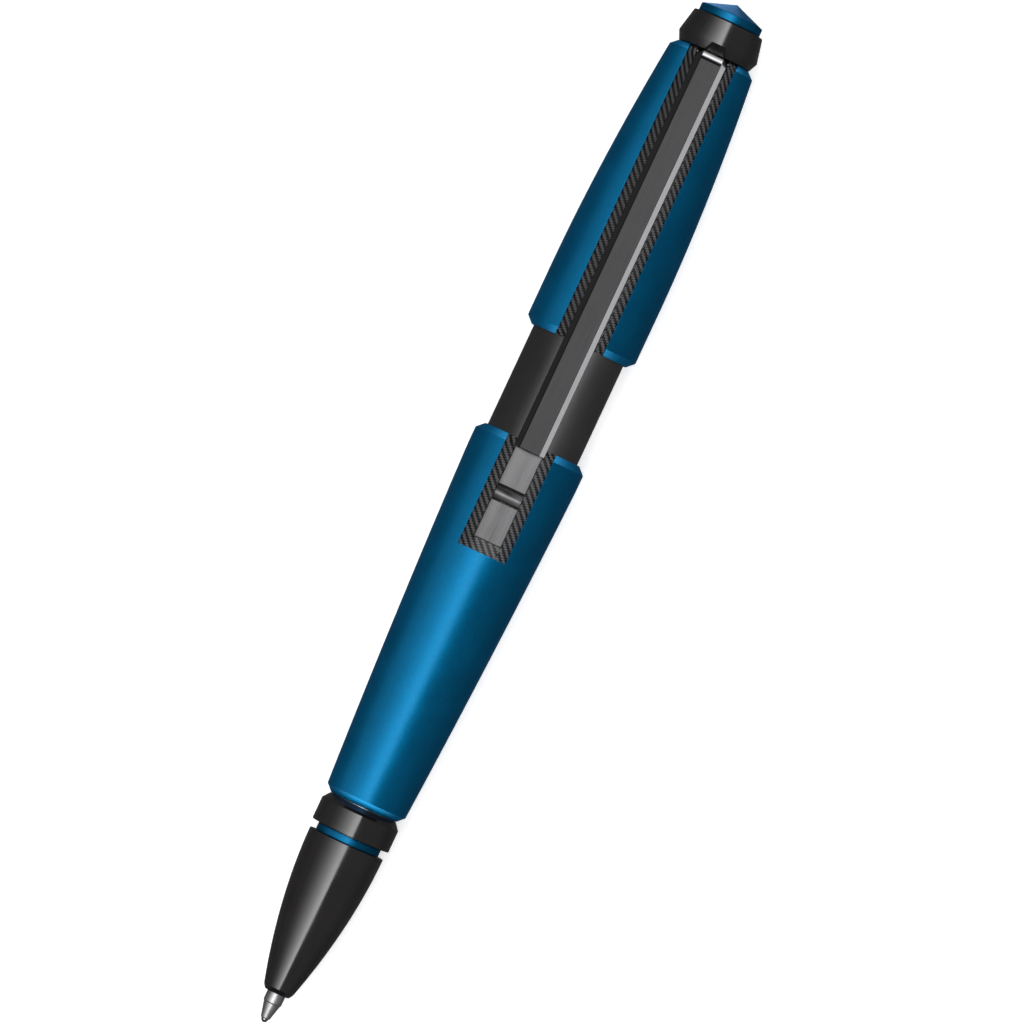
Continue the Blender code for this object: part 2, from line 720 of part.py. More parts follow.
def make_clip_pad(body):
    """The bump under the clip that sits over the plate's groove when the pen is closed."""
    middle = GROOVE_Z + TRAVEL
    low, high = PAD_X
    short, long = PAD_HALF_LENGTH
    outline = [(high, middle - long), (high, middle + long), (low, middle + short), (low, middle - short)]
    extruded("clip_pad", [outline], (-PAD_HALF_WIDTH, PAD_HALF_WIDTH), (STEEL, 1.0, 0.3), body)


# ---------------------------------------------------------------- nose

def make_nose_cone(body):
    taper = [(h, nose_radius(h)) for h in heights(NOSE_CORNER, NOSE_TOP - 0.25, 7)]
    outside = [(NOSE_END, NOSE_END_R), *taper, (NOSE_TOP, NOSE_TOP_R - 0.1)]
    sleeve_bore = SLEEVE_R[1] + FIT
    bore = [
        (NOSE_END, NOSE_BORE_R),
        (SPRING_SEAT, NOSE_BORE_R),
        (SPRING_SEAT, SPRING_BORE_R),
        (SPRING_BORE_TOP, SPRING_BORE_R),
        (SLEEVE_BORE_BOTTOM, sleeve_bore),
        (NOSE_TOP, sleeve_bore),
    ]
    turned("nose_cone", outside[::-1], (BLACK, 0.0, 0.15), bore, parent=body)


def make_accent_ring(body):
    low, high = ACCENT_Z
    bore = [(low, SLEEVE_R[1] + FIT), (high, SLEEVE_R[1] + FIT)]
    turned("accent_ring", [(high, ACCENT_R), (low, ACCENT_R)], (BLUE, 0.9, 0.3), bore, parent=body)


def make_nose_sleeve(body):
    low, high = SLEEVE_Z
    outside = [(high, SLEEVE_R[1]), (low, SLEEVE_R[1])]
    bore = [(low, SLEEVE_R[0]), (high, SLEEVE_R[0])]
    turned("nose_thread_sleeve", outside, (STEEL, 1.0, 0.4), bore, FINE_SEGMENTS, body)


# ---------------------------------------------------------------- refill

def make_refill_tip(body):
    neck_low, neck_high = TIP_NECK_Z
    outside = [
        (neck_high, TIP_NECK_R),
        (neck_low, TIP_NECK_R),
        (neck_low, TIP_SHANK_R),
        (TIP_CONE_TOP + 0.15, TIP_SHANK_R),
        (TIP_CONE_TOP, TIP_CONE_R),
        (TIP_END, TIP_END_R),
    ]
    bore = [
        (TIP_END, BALL_R + FIT),
        (BALL_SEAT_TOP, BALL_R + FIT),
        (BALL_SEAT_TOP + 0.1, INK_BORE_R),
        (neck_high, INK_BORE_R),
    ]
    turned("refill_tip", outside, (STEEL, 1.0, 0.2), bore, SMALL_SEGMENTS, body)


def make_tip_ball(body):
    """The writing ball, turned from a half circle."""
    outline = arc((BALL_R, 0.0), BALL_R, 0.0, pi, 8)
    outline[-1] = (0.0, 0.0)
    turned("tip_ball", outline, (STEEL, 1.0, 0.1), segments=12, parent=body)


def make_tip_holder(body):
    low, high = HOLDER_Z
    low_r, under_r, above_r = HOLDER_R
    plug_bottom = REFILL_BOTTOM - RUN
    neck_top = TIP_NECK_Z[1] + RUN
    outside = [
        (high, REFILL_BORE_R - FIT),
        (plug_bottom, REFILL_BORE_R - FIT),
        (plug_bottom, above_r),
        (HOLDER_SHOULDER, above_r),
        (HOLDER_SHOULDER, under_r),
        (low, low_r),
    ]
    bore = [
        (low, TIP_NECK_R + FIT),
        (neck_top, TIP_NECK_R + FIT),
        (neck_top + 0.5, HOLDER_BORE_R),
        (high, HOLDER_BORE_R),
    ]
    turned("refill_tip_holder", outside, (BLACK, 0.0, 0.5), bore, FINE_SEGMENTS, body)


def make_refill_tube(body):
    outside = [(REFILL_TOP, REFILL_R), (REFILL_BOTTOM, REFILL_R)]
    bore = [(REFILL_BOTTOM, REFILL_BORE_R), (REFILL_TOP, REFILL_BORE_R)]
    turned("refill_tube", outside, ((0.6, 0.62, 0.65), 0.0, 0.3), bore, FINE_SEGMENTS, body)
    inner = REFILL_BORE_R - RUN
    for name, (low, high) in (("ink_column", INK_Z), ("grease_plug", GREASE_Z)):
        outline = [(high, 0.0), (high, inner), (low, inner), (low, 0.0)]
        turned(name, outline, (BLACK, 0.0, 0.2), segments=FINE_SEGMENTS, parent=body)


def make_end_plug(body):
    """The plug that closes the refill, with a tapered air hole."""
    top = CARRIAGE_Z[0] - FIT
    outside = [
        (top, REFILL_R),
        (REFILL_TOP + FIT, REFILL_R),
        (REFILL_TOP + FIT, REFILL_BORE_R - FIT),
        (END_PLUG_BOTTOM, REFILL_BORE_R - FIT),
    ]
    bore = [(END_PLUG_BOTTOM, 1.6), (top, 0.6)]
    turned("refill_end_plug", outside, ((0.75, 0.76, 0.78), 0.0, 0.4), bore, FINE_SEGMENTS, body)


def make_refill_carriage(body):
    """A disc on the refill's end with the rack that the small gear drives."""
    low, high = CARRIAGE_Z
    outline = [(high, 0.0), (high, REFILL_R), (low, REFILL_R), (low, 0.0)]
    carriage = turned("refill_carriage", outline, (BLACK, 0.0, 0.4), segments=FINE_SEGMENTS, parent=body)
    rack = rack_outline(MODULE * SMALL_TEETH / 2, 1, CARRIAGE_TEETH_Z, CARRIAGE_RACK_TOP)
    foot = min(z for _, z in rack)
    bar = extruded("carriage_rack", [rack], SMALL_Y)
    root_x = MODULE * SMALL_TEETH / 2 + DEDENDUM
    arm = block("carriage_arm", (root_x, root_x + RACK_BACK), SMALL_Y,
                (high - ARM_THICKNESS, foot + RACK_END))
    combine(carriage, bar, "UNION")
    combine(carriage, arm, "UNION")


def make_refill_spring():
    """A coil between the nose's inner step and the holder's shoulder."""
    turns, per_turn, wire_r, coil_r = 6, 9, 0.13, 1.87
    low, high = SPRING_SEAT + wire_r + FIT, HOLDER_SHOULDER - wire_r - FIT
    curve = bpy.data.curves.new("refill_spring", "CURVE")
    curve.dimensions = "3D"
    curve.bevel_depth = wire_r * MM
    curve.bevel_resolution = 1
    curve.use_fill_caps = True
    curve.resolution_u = 1
    count = turns * per_turn + 1
    spline = curve.splines.new("POLY")
    spline.points.add(count - 1)
    for index, point in enumerate(spline.points):
        angle = 2 * pi * index / per_turn
        height = low + (high - low) * index / (count - 1)
        point.co = (coil_r * cos(angle) * MM, coil_r * sin(angle) * MM, height * MM, 1.0)
    spring = add_mesh_object("refill_spring", mesh_from_curve("refill_spring", curve), None)
    dress(spring, (STEEL, 1.0, 0.2))


# ---------------------------------------------------------------- the pen

def make_lower_half():
    make_lower_barrel()
    make_lower_liner()
    make_detent_plate()
    make_slide_tube()
    make_friction_ring()
    make_barrel_collar()
    make_thread_insert()
    make_refill_guide()
    make_gear_frame()
    make_refill_spring()


def make_upper_half(body):
    make_upper_shell(body)
    make_upper_liner(body)
    make_top_plug(body)
    make_crown(body)
    make_clip_bracket(body)
    make_clip_spring(body)
    make_drive_rack(body)


def make_clip(body):
    make_clip_blade(body)
    make_clip_pad(body)


def make_nose(body):
    make_nose_cone(body)
    make_accent_ring(body)
    make_nose_sleeve(body)


def make_refill(body):
    make_refill_tip(body)
    make_tip_holder(body)
    make_refill_tube(body)
    make_end_plug(body)
    make_refill_carriage(body)


clear_scene()
PARTS = make_collection("rollerball_pen")
CUTTERS = make_collection("cutters")

# a facet's flat middle lies on the desk, so the axis is that much nearer than the radius
PEN_AXIS = bpy.data.objects.new("pen_axis", None)
PARTS.objects.link(PEN_AXIS)
PEN_AXIS.location = (-LENGTH / 2 * MM, 0.0, BARREL_R * cos(pi / SEGMENTS) * MM)
PEN_AXIS.rotation_euler = (pi, -pi / 2, 0.0)

make_lower_half()
make_upper_half(make_axis("upper_axis"))
make_clip(make_axis("clip_axis", (PIN_X, 0.0, PIN_Z)))
make_nose(make_axis("nose_axis"))
make_refill(make_axis("refill_axis"))
make_compound_pinion(make_axis("pinion_axis", (0.0, 0.0, PINION_Z)))
make_tip_ball(make_axis("ball_axis", (0.0, 0.0, BALL_R)))
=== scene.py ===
"""Looks for the slide-open rollerball pen: fine meshes, materials, light and camera.

The pen lies on a desk with its clip up. A place on it is given as (height, across, up) in
millimetres: height runs from the ball to the crown, across is to world +Y, and up is away
from the pen's axis towards the clip. Turned pieces are closed outlines of (height, radius).
"""

import json
from math import acos, asin, cos, pi, radians, sin, sqrt, tan

import bmesh
import bpy
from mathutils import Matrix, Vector


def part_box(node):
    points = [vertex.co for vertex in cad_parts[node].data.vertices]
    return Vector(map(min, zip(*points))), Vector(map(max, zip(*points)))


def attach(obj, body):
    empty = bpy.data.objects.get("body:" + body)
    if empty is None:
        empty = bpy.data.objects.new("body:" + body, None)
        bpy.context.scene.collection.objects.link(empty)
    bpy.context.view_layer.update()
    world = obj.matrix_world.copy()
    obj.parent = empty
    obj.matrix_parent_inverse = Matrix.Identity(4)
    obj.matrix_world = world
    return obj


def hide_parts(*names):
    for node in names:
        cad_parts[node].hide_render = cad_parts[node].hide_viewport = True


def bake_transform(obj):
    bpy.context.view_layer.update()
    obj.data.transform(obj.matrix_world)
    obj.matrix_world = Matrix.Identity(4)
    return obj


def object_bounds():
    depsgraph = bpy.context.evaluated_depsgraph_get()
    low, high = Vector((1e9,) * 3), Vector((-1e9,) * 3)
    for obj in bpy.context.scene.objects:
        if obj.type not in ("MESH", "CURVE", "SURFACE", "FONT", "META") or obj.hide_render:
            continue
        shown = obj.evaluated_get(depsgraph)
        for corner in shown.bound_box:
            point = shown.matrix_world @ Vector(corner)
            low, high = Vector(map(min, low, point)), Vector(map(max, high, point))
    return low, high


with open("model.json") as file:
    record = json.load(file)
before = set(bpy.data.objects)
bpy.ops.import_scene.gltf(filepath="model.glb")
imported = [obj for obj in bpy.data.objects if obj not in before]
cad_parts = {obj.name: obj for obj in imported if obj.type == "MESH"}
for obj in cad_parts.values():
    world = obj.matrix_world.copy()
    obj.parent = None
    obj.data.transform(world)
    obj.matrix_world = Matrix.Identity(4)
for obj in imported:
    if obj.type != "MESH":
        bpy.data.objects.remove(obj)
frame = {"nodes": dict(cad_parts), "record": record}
CAD_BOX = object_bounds()

MM = 0.001
TIP_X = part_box("tip_ball")[0].x
LENGTH = (CAD_BOX[1].x - TIP_X) / MM
AXIS_Z = sum(corner.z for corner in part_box("slide_tube")) / 2

# fineness of the meshes
SEGMENTS = 128           # round the large turned pieces
SMALL_SEGMENTS = 64      # round the refill, the sleeves and the point
SLOT_COLUMNS = 16        # across the closed part of a slotted piece
TAPER_STEPS = 28
EDGE_ROUND = 0.1         # radius of rounded edges
ON_AXIS = 0.0001         # a smaller radius than this is on the axis
SKIN = "skin"            # UV map of turned pieces: millimetres along and round the pen

# shapes that the frame's boxes don't give, in millimetres
GAP = 0.05               # between pieces that are fixed in each other
TUBE_R = 6.02
TUBE_BORE_R = 5.28
TUBE_GROOVE_R = 5.7
SHELL_WALL = 0.4
SLOT_HALF_WIDTH = 3.19
MOUTH_R = 6.33           # radius of both halves at the ends that face each other
MOUTH_BEVEL = 0.9        # height of the bevel there
MOUTH_WALL = 0.07        # what is left of the shell's wall there
LOWER_FOOT_R = 4.4
LOWER_EDGE_R = 5.24
LOWER_BEVEL = 0.83
LOWER_LAND = 2.14        # plain cylinder above the lower half's taper
LOWER_BULGE = 0.35
NOTCH_BOTTOM = 63.14
UPPER_LAND_TOP = 99.0
UPPER_EDGE_R = 5.55
UPPER_BEVEL = 0.74
UPPER_TOP_R = 4.76
UPPER_POWER = 1.85
LINER_WALL = 0.45
LINER_EDGE = 129.2       # above this the upper liner draws in under the crown
LEG_SLOT_BOTTOM = 127.5  # from here up the upper liner is open for the clip's leg
LINER_TOP_R = 4.48       # radius that it draws in to
STOP_Z = (94.2, 95.6)    # the stop ring on the slide tube
FLANGE_TOP = 94.05       # top of the flange that the stop meets, at the upper liner's mouth
STOP_BORE_R = 6.36       # room for the stop, inside the upper liner
STOP_BORE_TOP = 109.3
LINER_BORE_BOTTOM = 112.0    # above this the liner's bore follows its outside
RUN = 0.1                # between pieces that slide in each other
STEP = 0.01              # height of a square step, so that no two points share a height
TOP_LIP = 0.3            # wall of the upper shell's top rim
LOWER_BORE_R = 4.6
COLLAR_BEVEL = 0.89      # height of the bevel at the barrel collar's top
THREAD_PITCH = 0.6
INSERT_THREAD = (3.46, 0.16)     # crest radius and depth of the barrel's thread
SLEEVE_BORE_R = 3.08
SLEEVE_THREAD_DEPTH = 0.14
CROWN_COLLAR_EDGE = 131.4        # widest height of the crown's collar
CROWN_COLLAR_R = (4.68, 4.56)    # at its bottom and top
CROWN_NECK_R = 2.05
CROWN_LAND = 1.0         # straight height under the crown's cone
CROWN_SCREW_R = 0.75
CROWN_SCREW_DEPTH = 1.2
CROWN_BLUNT = 0.35       # how far from the axis the crown's point is rounded off
NOSE_CORNER = 0.57       # height of the bevel round the nose's opening
NOSE_CORNER_R = 1.96
NOSE_END_R = 1.6
NOSE_BORE_R = 1.35
NOSE_POWER = 1.9         # how round the nose's taper is
SPRING_BORE_Z = (8.0, 14.2)      # the wider bore in the nose that the spring stands in
SPRING_BORE_R = 2.3
SLEEVE_BORE_BOTTOM = 15.0
SEAT_R = 0.47            # the ball's seat in the point
INK_BORE_R = 0.2
TIP_RIM_R = (0.54, 0.61)         # at the rolled rim's end and behind it
TIP_CONE = ((2.38, 1.04), (2.5, 1.06))   # the top of the point's cone
TIP_NECK_BOTTOM = 7.5
TIP_NECK_R = 0.8
REFILL_BORE_R = 2.48
HOLDER_R = (1.38, 1.5, 2.2)      # at the tip, under the shoulder and above it
HOLDER_SHOULDER = 13.5
HOLDER_PLUG_BOTTOM = 15.3
HOLDER_BORE = ((11.6, 1.6), (11.1, 0.85))   # where its bore narrows to the point's neck
PEN_LEAN = 25.0          # degrees to the right in the picture
VIEW_OFFSET = (1.43, 0.19)       # how far right and up of the pen's middle the camera looks
CAMERA_HEIGHT = 1042.0
WEAVE_R = 6.8            # radius at which the carbon weave has its true width

OVERHEAD = (0.06, 0.0, 0.4)          # where the soft boxes above the slot hang


# ---------------------------------------------------------------- places and sizes

def reach(node):
    """A node's lowest and highest height on the pen."""
    low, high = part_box(node)
    return (low.x - TIP_X) / MM, (high.x - TIP_X) / MM


def half_width(node):
    """Half of a node's size across the pen, which is the radius of a turned piece."""
    low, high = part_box(node)
    return (high.y - low.y) / 2 / MM


def above_axis(node):
    """How far a node's lowest and highest points are above the pen's axis."""
    low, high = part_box(node)
    return (low.z - AXIS_Z) / MM, (high.z - AXIS_Z) / MM


def place(height, across=0.0, up=0.0):
    return Vector((TIP_X + height * MM, across * MM, AXIS_Z + up * MM))


PEN_MIDDLE = place(LENGTH / 2)
BARREL_R = half_width("upper_shell")
LOWER_BOTTOM, LOWER_TOP = reach("lower_barrel")
UPPER_BOTTOM, UPPER_TOP = reach("upper_shell")


def lower_radius(height):
    """Outer radius of the lower half between its two bevels."""
    low = LOWER_BOTTOM + LOWER_BEVEL
    high = LOWER_TOP - MOUTH_BEVEL - LOWER_LAND
    share = (height - low) / (high - low)
    bowed = share * (1.0 + LOWER_BULGE * (1.0 - share))
    return LOWER_EDGE_R + (BARREL_R - LOWER_EDGE_R) * min(bowed, 1.0)


def upper_radius(height):
    """Outer radius of the upper half, which narrows ever faster towards the crown."""
    share = max(height - UPPER_LAND_TOP, 0.0) / (UPPER_TOP - UPPER_BEVEL - UPPER_LAND_TOP)
    return BARREL_R - (BARREL_R - UPPER_EDGE_R) * share ** UPPER_POWER


def spread(low, high, count):
    """Evenly spaced values from low to high, both included."""
    return [low + (high - low) * step / count for step in range(count + 1)]


# ---------------------------------------------------------------- meshes of turned pieces

def rounded(outline, radius=EDGE_ROUND, closed=True, steps=3):
    """An outline with its sharp corners rounded, apart from corners on the axis."""
    points = [Vector(point) for point in outline]
    result = []
    for index, corner in enumerate(points):
        to_last = points[index - 1] - corner
        to_next = points[(index + 1) % len(points)] - corner
        turn = pi - to_last.angle(to_next)
        at_end = not closed and index in (0, len(points) - 1)
        if at_end or corner.y < ON_AXIS or turn < radians(12):
            result.append(corner)
            continue
        cut = min(radius * tan(turn / 2), 0.4 * to_last.length, 0.4 * to_next.length)
        start = corner + to_last.normalized() * cut
        end = corner + to_next.normalized() * cut
        for share in spread(0.0, 1.0, steps):
            result.append(start.lerp(corner, share).lerp(corner.lerp(end, share), share))
    return result


def row(work, height, radius, angles):
    """Corners (vertex, height, angle) round the axis, which share a vertex if they lie on it."""
    if radius < ON_AXIS:
        pole = work.verts.new(place(height))
        return [(pole, height, angle) for angle in angles]
    return [(work.verts.new(place(height, radius * sin(angle), radius * cos(angle))), height, angle)
            for angle in angles]


def full_row(work, height, radius, segments):
    """A row that closes on its own first vertex."""
    corners = row(work, height, radius, spread(0.0, 2 * pi, segments)[:-1])
    return [*corners, (corners[0][0], height, 2 * pi)]


def patch(work, first, second):
    """Faces between two rows of corners, laid out on the skin map."""
    skin = work.loops.layers.uv.verify()
    for quad in zip(first, first[1:], second[1:], second):
        corners = list({corner[0]: corner for corner in quad}.values())
        if len(corners) < 3:
            continue
        face = work.faces.new([corner[0] for corner in corners])
        for loop, (_, height, angle) in zip(face.loops, corners):
            loop[skin].uv = (height, angle * WEAVE_R)


def finished(work, name):
    """A smooth mesh whose faces look outwards."""
    bmesh.ops.recalc_face_normals(work, faces=work.faces)
    for face in work.faces:
        face.smooth = True
    mesh = bpy.data.meshes.new(name)
    work.to_mesh(mesh)
    work.free()
    if mesh.uv_layers:
        mesh.uv_layers[0].name = SKIN
    mesh.set_sharp_from_angle(angle=radians(38))
    return mesh


def turned(name, outline, segments=SEGMENTS):
    """A closed turned mesh from a closed outline, or from one that starts and ends on the axis."""
    work = bmesh.new()
    rows = [full_row(work, height, radius, segments) for height, radius in outline]
    for first, second in zip(rows, [*rows[1:], rows[0]]):
        patch(work, first, second)
    return finished(work, name)


def slotted(name, outer, inner, half_slot, slot_from):
    """A turned shell with a slot along its top side from one height upwards.

    Its outer and inner outlines run from bottom to top. Both have a point at the slot's start,
    unless the slot runs the whole length.
    """
    work = bmesh.new()
    sides = []
    for outline in (outer, inner):
        bodies, bridges = [], []
        for height, radius in outline:
            edge = asin(half_slot / radius)
            body = row(work, height, radius, spread(edge, 2 * pi - edge, SEGMENTS))
            bodies.append(body)
            if height <= slot_from + ON_AXIS:
                middle = row(work, height, radius, spread(-edge, edge, SLOT_COLUMNS)[1:-1])
                bridges.append([(body[-1][0], height, -edge), *middle, (body[0][0], height, edge)])
        for rows in (bodies, bridges):
            for first, second in zip(rows, rows[1:]):
                patch(work, first, second)
        sides.append((bodies, bridges))
    (outer_bodies, outer_bridges), (inner_bodies, inner_bridges) = sides
    patch(work, outer_bodies[0], inner_bodies[0])
    patch(work, outer_bodies[-1], inner_bodies[-1])
    for end in (0, -1) if outer_bridges else ():
        patch(work, outer_bridges[end], inner_bridges[end])
    for side in (0, -1):
        wall = [body[side] for body in outer_bodies if body[side][1] >= slot_from - ON_AXIS]
        wall += [body[side] for body in inner_bodies[::-1] if body[side][1] >= slot_from - ON_AXIS]
        work.faces.new([corner[0] for corner in wall])
    return finished(work, name)


def with_point(outline, height):
    """An outline that runs upwards, with a point added at one height."""
    for index, (first, second) in enumerate(zip(outline, outline[1:])):
        if first[0] < height < second[0]:
            share = (height - first[0]) / (second[0] - first[0])
            radius = first[1] + (second[1] - first[1]) * share
            return [*outline[:index + 1], (height, radius), *outline[index + 1:]]
    return outline


def threaded(name, low, high, crest_r, wall_r, pitch, depth):
    """A tube with a helical thread on the side where its crest is, and a plain wall."""
    work = bmesh.new()
    per_turn = 4
    inwards = -1.0 if crest_r > wall_r else 1.0
    depths = (0.0, 0.0, 1.0, 1.0)
    root_r = crest_r + inwards * depth
    count = int((high - low) / pitch + 2) * per_turn
    columns = []
    for angle in spread(0.0, 2 * pi, SMALL_SEGMENTS)[:-1]:
        column = []
        for index in range(count + per_turn + 1):
            height = low + pitch * (index / per_turn + angle / (2 * pi) - 1.0)
            inside = low < height < high
            radius = crest_r + inwards * depth * depths[index % per_turn] if inside else root_r
            column += row(work, min(max(height, low), high), radius, [angle])
        columns.append(column)
    for index in range(count):
        first, second = [
            [*(column[at] for column in columns), (*columns[0][at + per_turn][:2], 2 * pi)]
            for at in (index, index + 1)
        ]
        patch(work, first, second)
    rims = [full_row(work, height, radius, SMALL_SEGMENTS)
            for height, radius in ((low, root_r), (low, wall_r), (high, wall_r), (high, root_r))]
    for first, second in zip(rims, rims[1:]):
        patch(work, first, second)
    bmesh.ops.remove_doubles(work, verts=work.verts, dist=1e-8)
    bmesh.ops.dissolve_degenerate(work, edges=work.edges, dist=1e-8)
    return finished(work, name)


# ---------------------------------------------------------------- showing pieces

BODIES = frame["record"]["behaviour"]["bodies"]
SLOTS = {part["node"]: part["material_slot"] for part in frame["record"]["subparts"]}


def body_of(node):
    return next(body for body, nodes in BODIES.items() if node in nodes)


def add_modifiers(piece, bevel):
    """Bevel the piece's sharp edges if asked, and keep its flat faces flat in shading."""
    if bevel:
        rounding = piece.modifiers.new("Round edges", "BEVEL")
        rounding.width = bevel * MM
        rounding.segments = 3
        rounding.limit_method = "ANGLE"
        rounding.angle_limit = radians(35)
    weights = piece.modifiers.new("Flat faces", "WEIGHTED_NORMAL")
    weights.keep_sharp = True


def show(node, mesh, bevel=0.0):
    """Show a mesh in place of a CAD node, with that node's body and material slot."""
    piece = bpy.data.objects.new(node + "_fine", mesh)
    bpy.context.scene.collection.objects.link(piece)
    mesh.materials.append(MATERIALS[SLOTS[node]])
    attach(piece, body_of(node))
    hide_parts(node)
    add_modifiers(piece, bevel)
    return piece


def dress(node, bevel=0.06):
    """Give a CAD node that stays in view its material and rounded edges."""
    piece = frame["nodes"][node]
    piece.data.materials.clear()
    piece.data.materials.append(MATERIALS[SLOTS[node]])
    add_modifiers(piece, bevel)


# ---------------------------------------------------------------- node materials

def add(tree, kind, inputs=None, **settings):
    """Add a shader node; its inputs are constants or sockets of other nodes."""
    node = tree.nodes.new("ShaderNode" + kind)
    for name, value in settings.items():
        setattr(node, name, value)
    for name, value in (inputs or {}).items():
        if isinstance(value, bpy.types.NodeSocket):
            tree.links.new(value, node.inputs[name])
        else:
            node.inputs[name].default_value = value
    return node


def calculate(tree, operation, *values):
    return add(tree, "Math", dict(enumerate(values)), operation=operation).outputs[0]


def rescale(tree, value, low, high, start=0.0, end=1.0):
    """Map a value from low..high to start..end, held at both ends."""
    limits = {"Value": value, "From Min": low, "From Max": high, "To Min": start, "To Max": end}
    return add(tree, "MapRange", limits).outputs["Result"]


def blend_colours(tree, factor, dark, light):
    mix = add(tree, "Mix", data_type="RGBA")
    for socket, value in (("A_Color", dark), ("B_Color", light)):
        target = next(item for item in mix.inputs if item.identifier == socket)
        if isinstance(value, bpy.types.NodeSocket):
            tree.links.new(value, target)
        else:
            target.default_value = (*value, 1.0)
    tree.links.new(factor, mix.inputs["Factor"])
    return next(item for item in mix.outputs if item.identifier == "Result_Color")


def object_place(tree, stretch=(1.0, 1.0, 1.0)):
    """Place on the piece in metres, squeezed by a factor on each axis."""
    coordinates = add(tree, "TexCoord").outputs["Object"]
    return add(tree, "Mapping", {"Vector": coordinates, "Scale": stretch}).outputs["Vector"]


def noise(tree, vector, scale, detail=3.0):
    return add(tree, "TexNoise", {"Vector": vector, "Scale": scale, "Detail": detail}).outputs["Fac"]


def bump(tree, height, depth):
    """A bump whose full height is depth in metres."""
    return add(tree, "Bump", {"Height": height, "Strength": 1.0, "Distance": depth}).outputs["Normal"]


def make_material(name, **constants):
    """A material with constants on its shader's own sockets; gives its tree and its shader."""
    material = bpy.data.materials.new(name)
    material.use_nodes = True
    shader = material.node_tree.nodes["Principled BSDF"]
    for socket, value in constants.items():
        shader.inputs[socket.replace("_", " ").title().replace("Ior", "IOR")].default_value = value
    MATERIALS[name] = material
    return material.node_tree, shader


def finish_looks(tree, shader, colour, roughness, normal=None):
    tree.links.new(colour, shader.inputs["Base Color"])
    tree.links.new(roughness, shader.inputs["Roughness"])
    if normal:
        tree.links.new(normal, shader.inputs["Normal"])


MATERIALS = {}


def make_blue_lacquer():
    """Satin metallic lacquer: fine flakes that differ in tint and tilt, under a soft clear coat."""
    tree, shader = make_material("blue_lacquer", metallic=0.87, specular_tint=(0.0, 0.5, 0.8, 1.0),
                                 coat_weight=0.15, coat_roughness=0.25)
    where = object_place(tree)
    flakes = add(tree, "TexVoronoi", {"Vector": where, "Scale": 14000.0})
    flake = add(tree, "SeparateColor", {"Color": flakes.outputs["Color"]})
    cloud = noise(tree, where, 260.0)
    share = calculate(tree, "MULTIPLY_ADD", flake.outputs[0], 0.55, calculate(tree, "MULTIPLY", cloud, 0.45))
    colour = blend_colours(tree, share, (0.0, 0.094, 0.208), (0.0, 0.150, 0.326))
    base = rescale(tree, cloud, 0.3, 0.7, 0.34, 0.39)
    roughness = calculate(tree, "MULTIPLY_ADD", flake.outputs[1], 0.06, base)
    finish_looks(tree, shader, colour, roughness, bump(tree, flake.outputs[2], 0.0000012))


def make_black_gloss():
    """Polished black lacquer with faint smudges and orange peel."""
    tree, shader = make_material("black_gloss", ior=1.8)
    where = object_place(tree)
    smudge = noise(tree, where, 190.0, 5.0)
    peel = noise(tree, where, 1300.0, 2.0)
    colour = blend_colours(tree, smudge, (0.006, 0.005, 0.0052), (0.012, 0.010, 0.0104))
    roughness = rescale(tree, smudge, 0.3, 0.7, 0.11, 0.19)
    finish_looks(tree, shader, colour, roughness, bump(tree, peel, 0.0000015))


def make_black_satin():
    """Black anodised tube, finely brushed along its length."""
    tree, shader = make_material("black_satin", ior=1.9)
    grain = noise(tree, object_place(tree, (0.03, 1.0, 1.0)), 9000.0, 4.0)
    smudge = noise(tree, object_place(tree), 150.0, 4.0)
    colour = blend_colours(tree, grain, (0.006, 0.005, 0.0055), (0.015, 0.013, 0.0135))
    roughness = rescale(tree, smudge, 0.3, 0.7, 0.42, 0.5)
    finish_looks(tree, shader, colour, roughness, bump(tree, grain, 0.0000025))


def make_carbon_weave():
    """Carbon twill under clear lacquer: each tow goes over two tows and under two. Its colour holds a painted
    sheen: tows that run round the pen are painted light, brightest along their middles.
    """
    tow = 0.246
    tree, shader = make_material("carbon_weave", coat_weight=0.35, coat_roughness=0.12, ior=1.45)
    skin = add(tree, "SeparateXYZ", {"Vector": add(tree, "UVMap", uv_map=SKIN).outputs["UV"]})
    along = calculate(tree, "DIVIDE", skin.outputs["X"], tow)
    around = calculate(tree, "DIVIDE", skin.outputs["Y"], tow)
    step = calculate(tree, "SUBTRACT", calculate(tree, "FLOOR", along), calculate(tree, "FLOOR", around))
    hoop_on_top = calculate(tree, "LESS_THAN", calculate(tree, "FLOORED_MODULO", step, 4.0), 1.5)

    def dome(value):
        """Height across a tow: 0 at its edges and 1 along its middle."""
        offset = calculate(tree, "SUBTRACT", calculate(tree, "FRACT", value), 0.5)
        return calculate(tree, "SUBTRACT", 1.0, calculate(tree, "POWER", calculate(
            tree, "ABSOLUTE", calculate(tree, "MULTIPLY", offset, 2.0)), 2.5))

    def choose(if_hoop, if_axial):
        picked = add(tree, "Mix", {"Factor": hoop_on_top}, data_type="FLOAT")
        tree.links.new(if_axial, picked.inputs[2])
        tree.links.new(if_hoop, picked.inputs[3])
        return picked.outputs[0]

    height = choose(dome(along), dome(around))
    fibres = noise(tree, add(tree, "Mapping", {"Vector": add(tree, "UVMap", uv_map=SKIN).outputs["UV"],
                                               "Scale": (30.0, 3.0, 1.0)}).outputs["Vector"], 1.0, 3.0)
    # painted sheen: the tows that run round the pen are painted light, brighter along each tow's middle and
    # streaked along its fibres; the tows that run along stay dark
    painted_sheen = calculate(tree, "MULTIPLY", hoop_on_top, calculate(tree, "MULTIPLY_ADD", fibres, 0.5, height))
    colour = blend_colours(tree, painted_sheen, (0.006, 0.0055, 0.0058), (0.210, 0.205, 0.210))
    roughness = choose(rescale(tree, fibres, 0.3, 0.7, 0.3, 0.4), rescale(tree, fibres, 0.3, 0.7, 0.42, 0.5))
    finish_looks(tree, shader, colour, roughness, bump(tree, height, 0.00002))


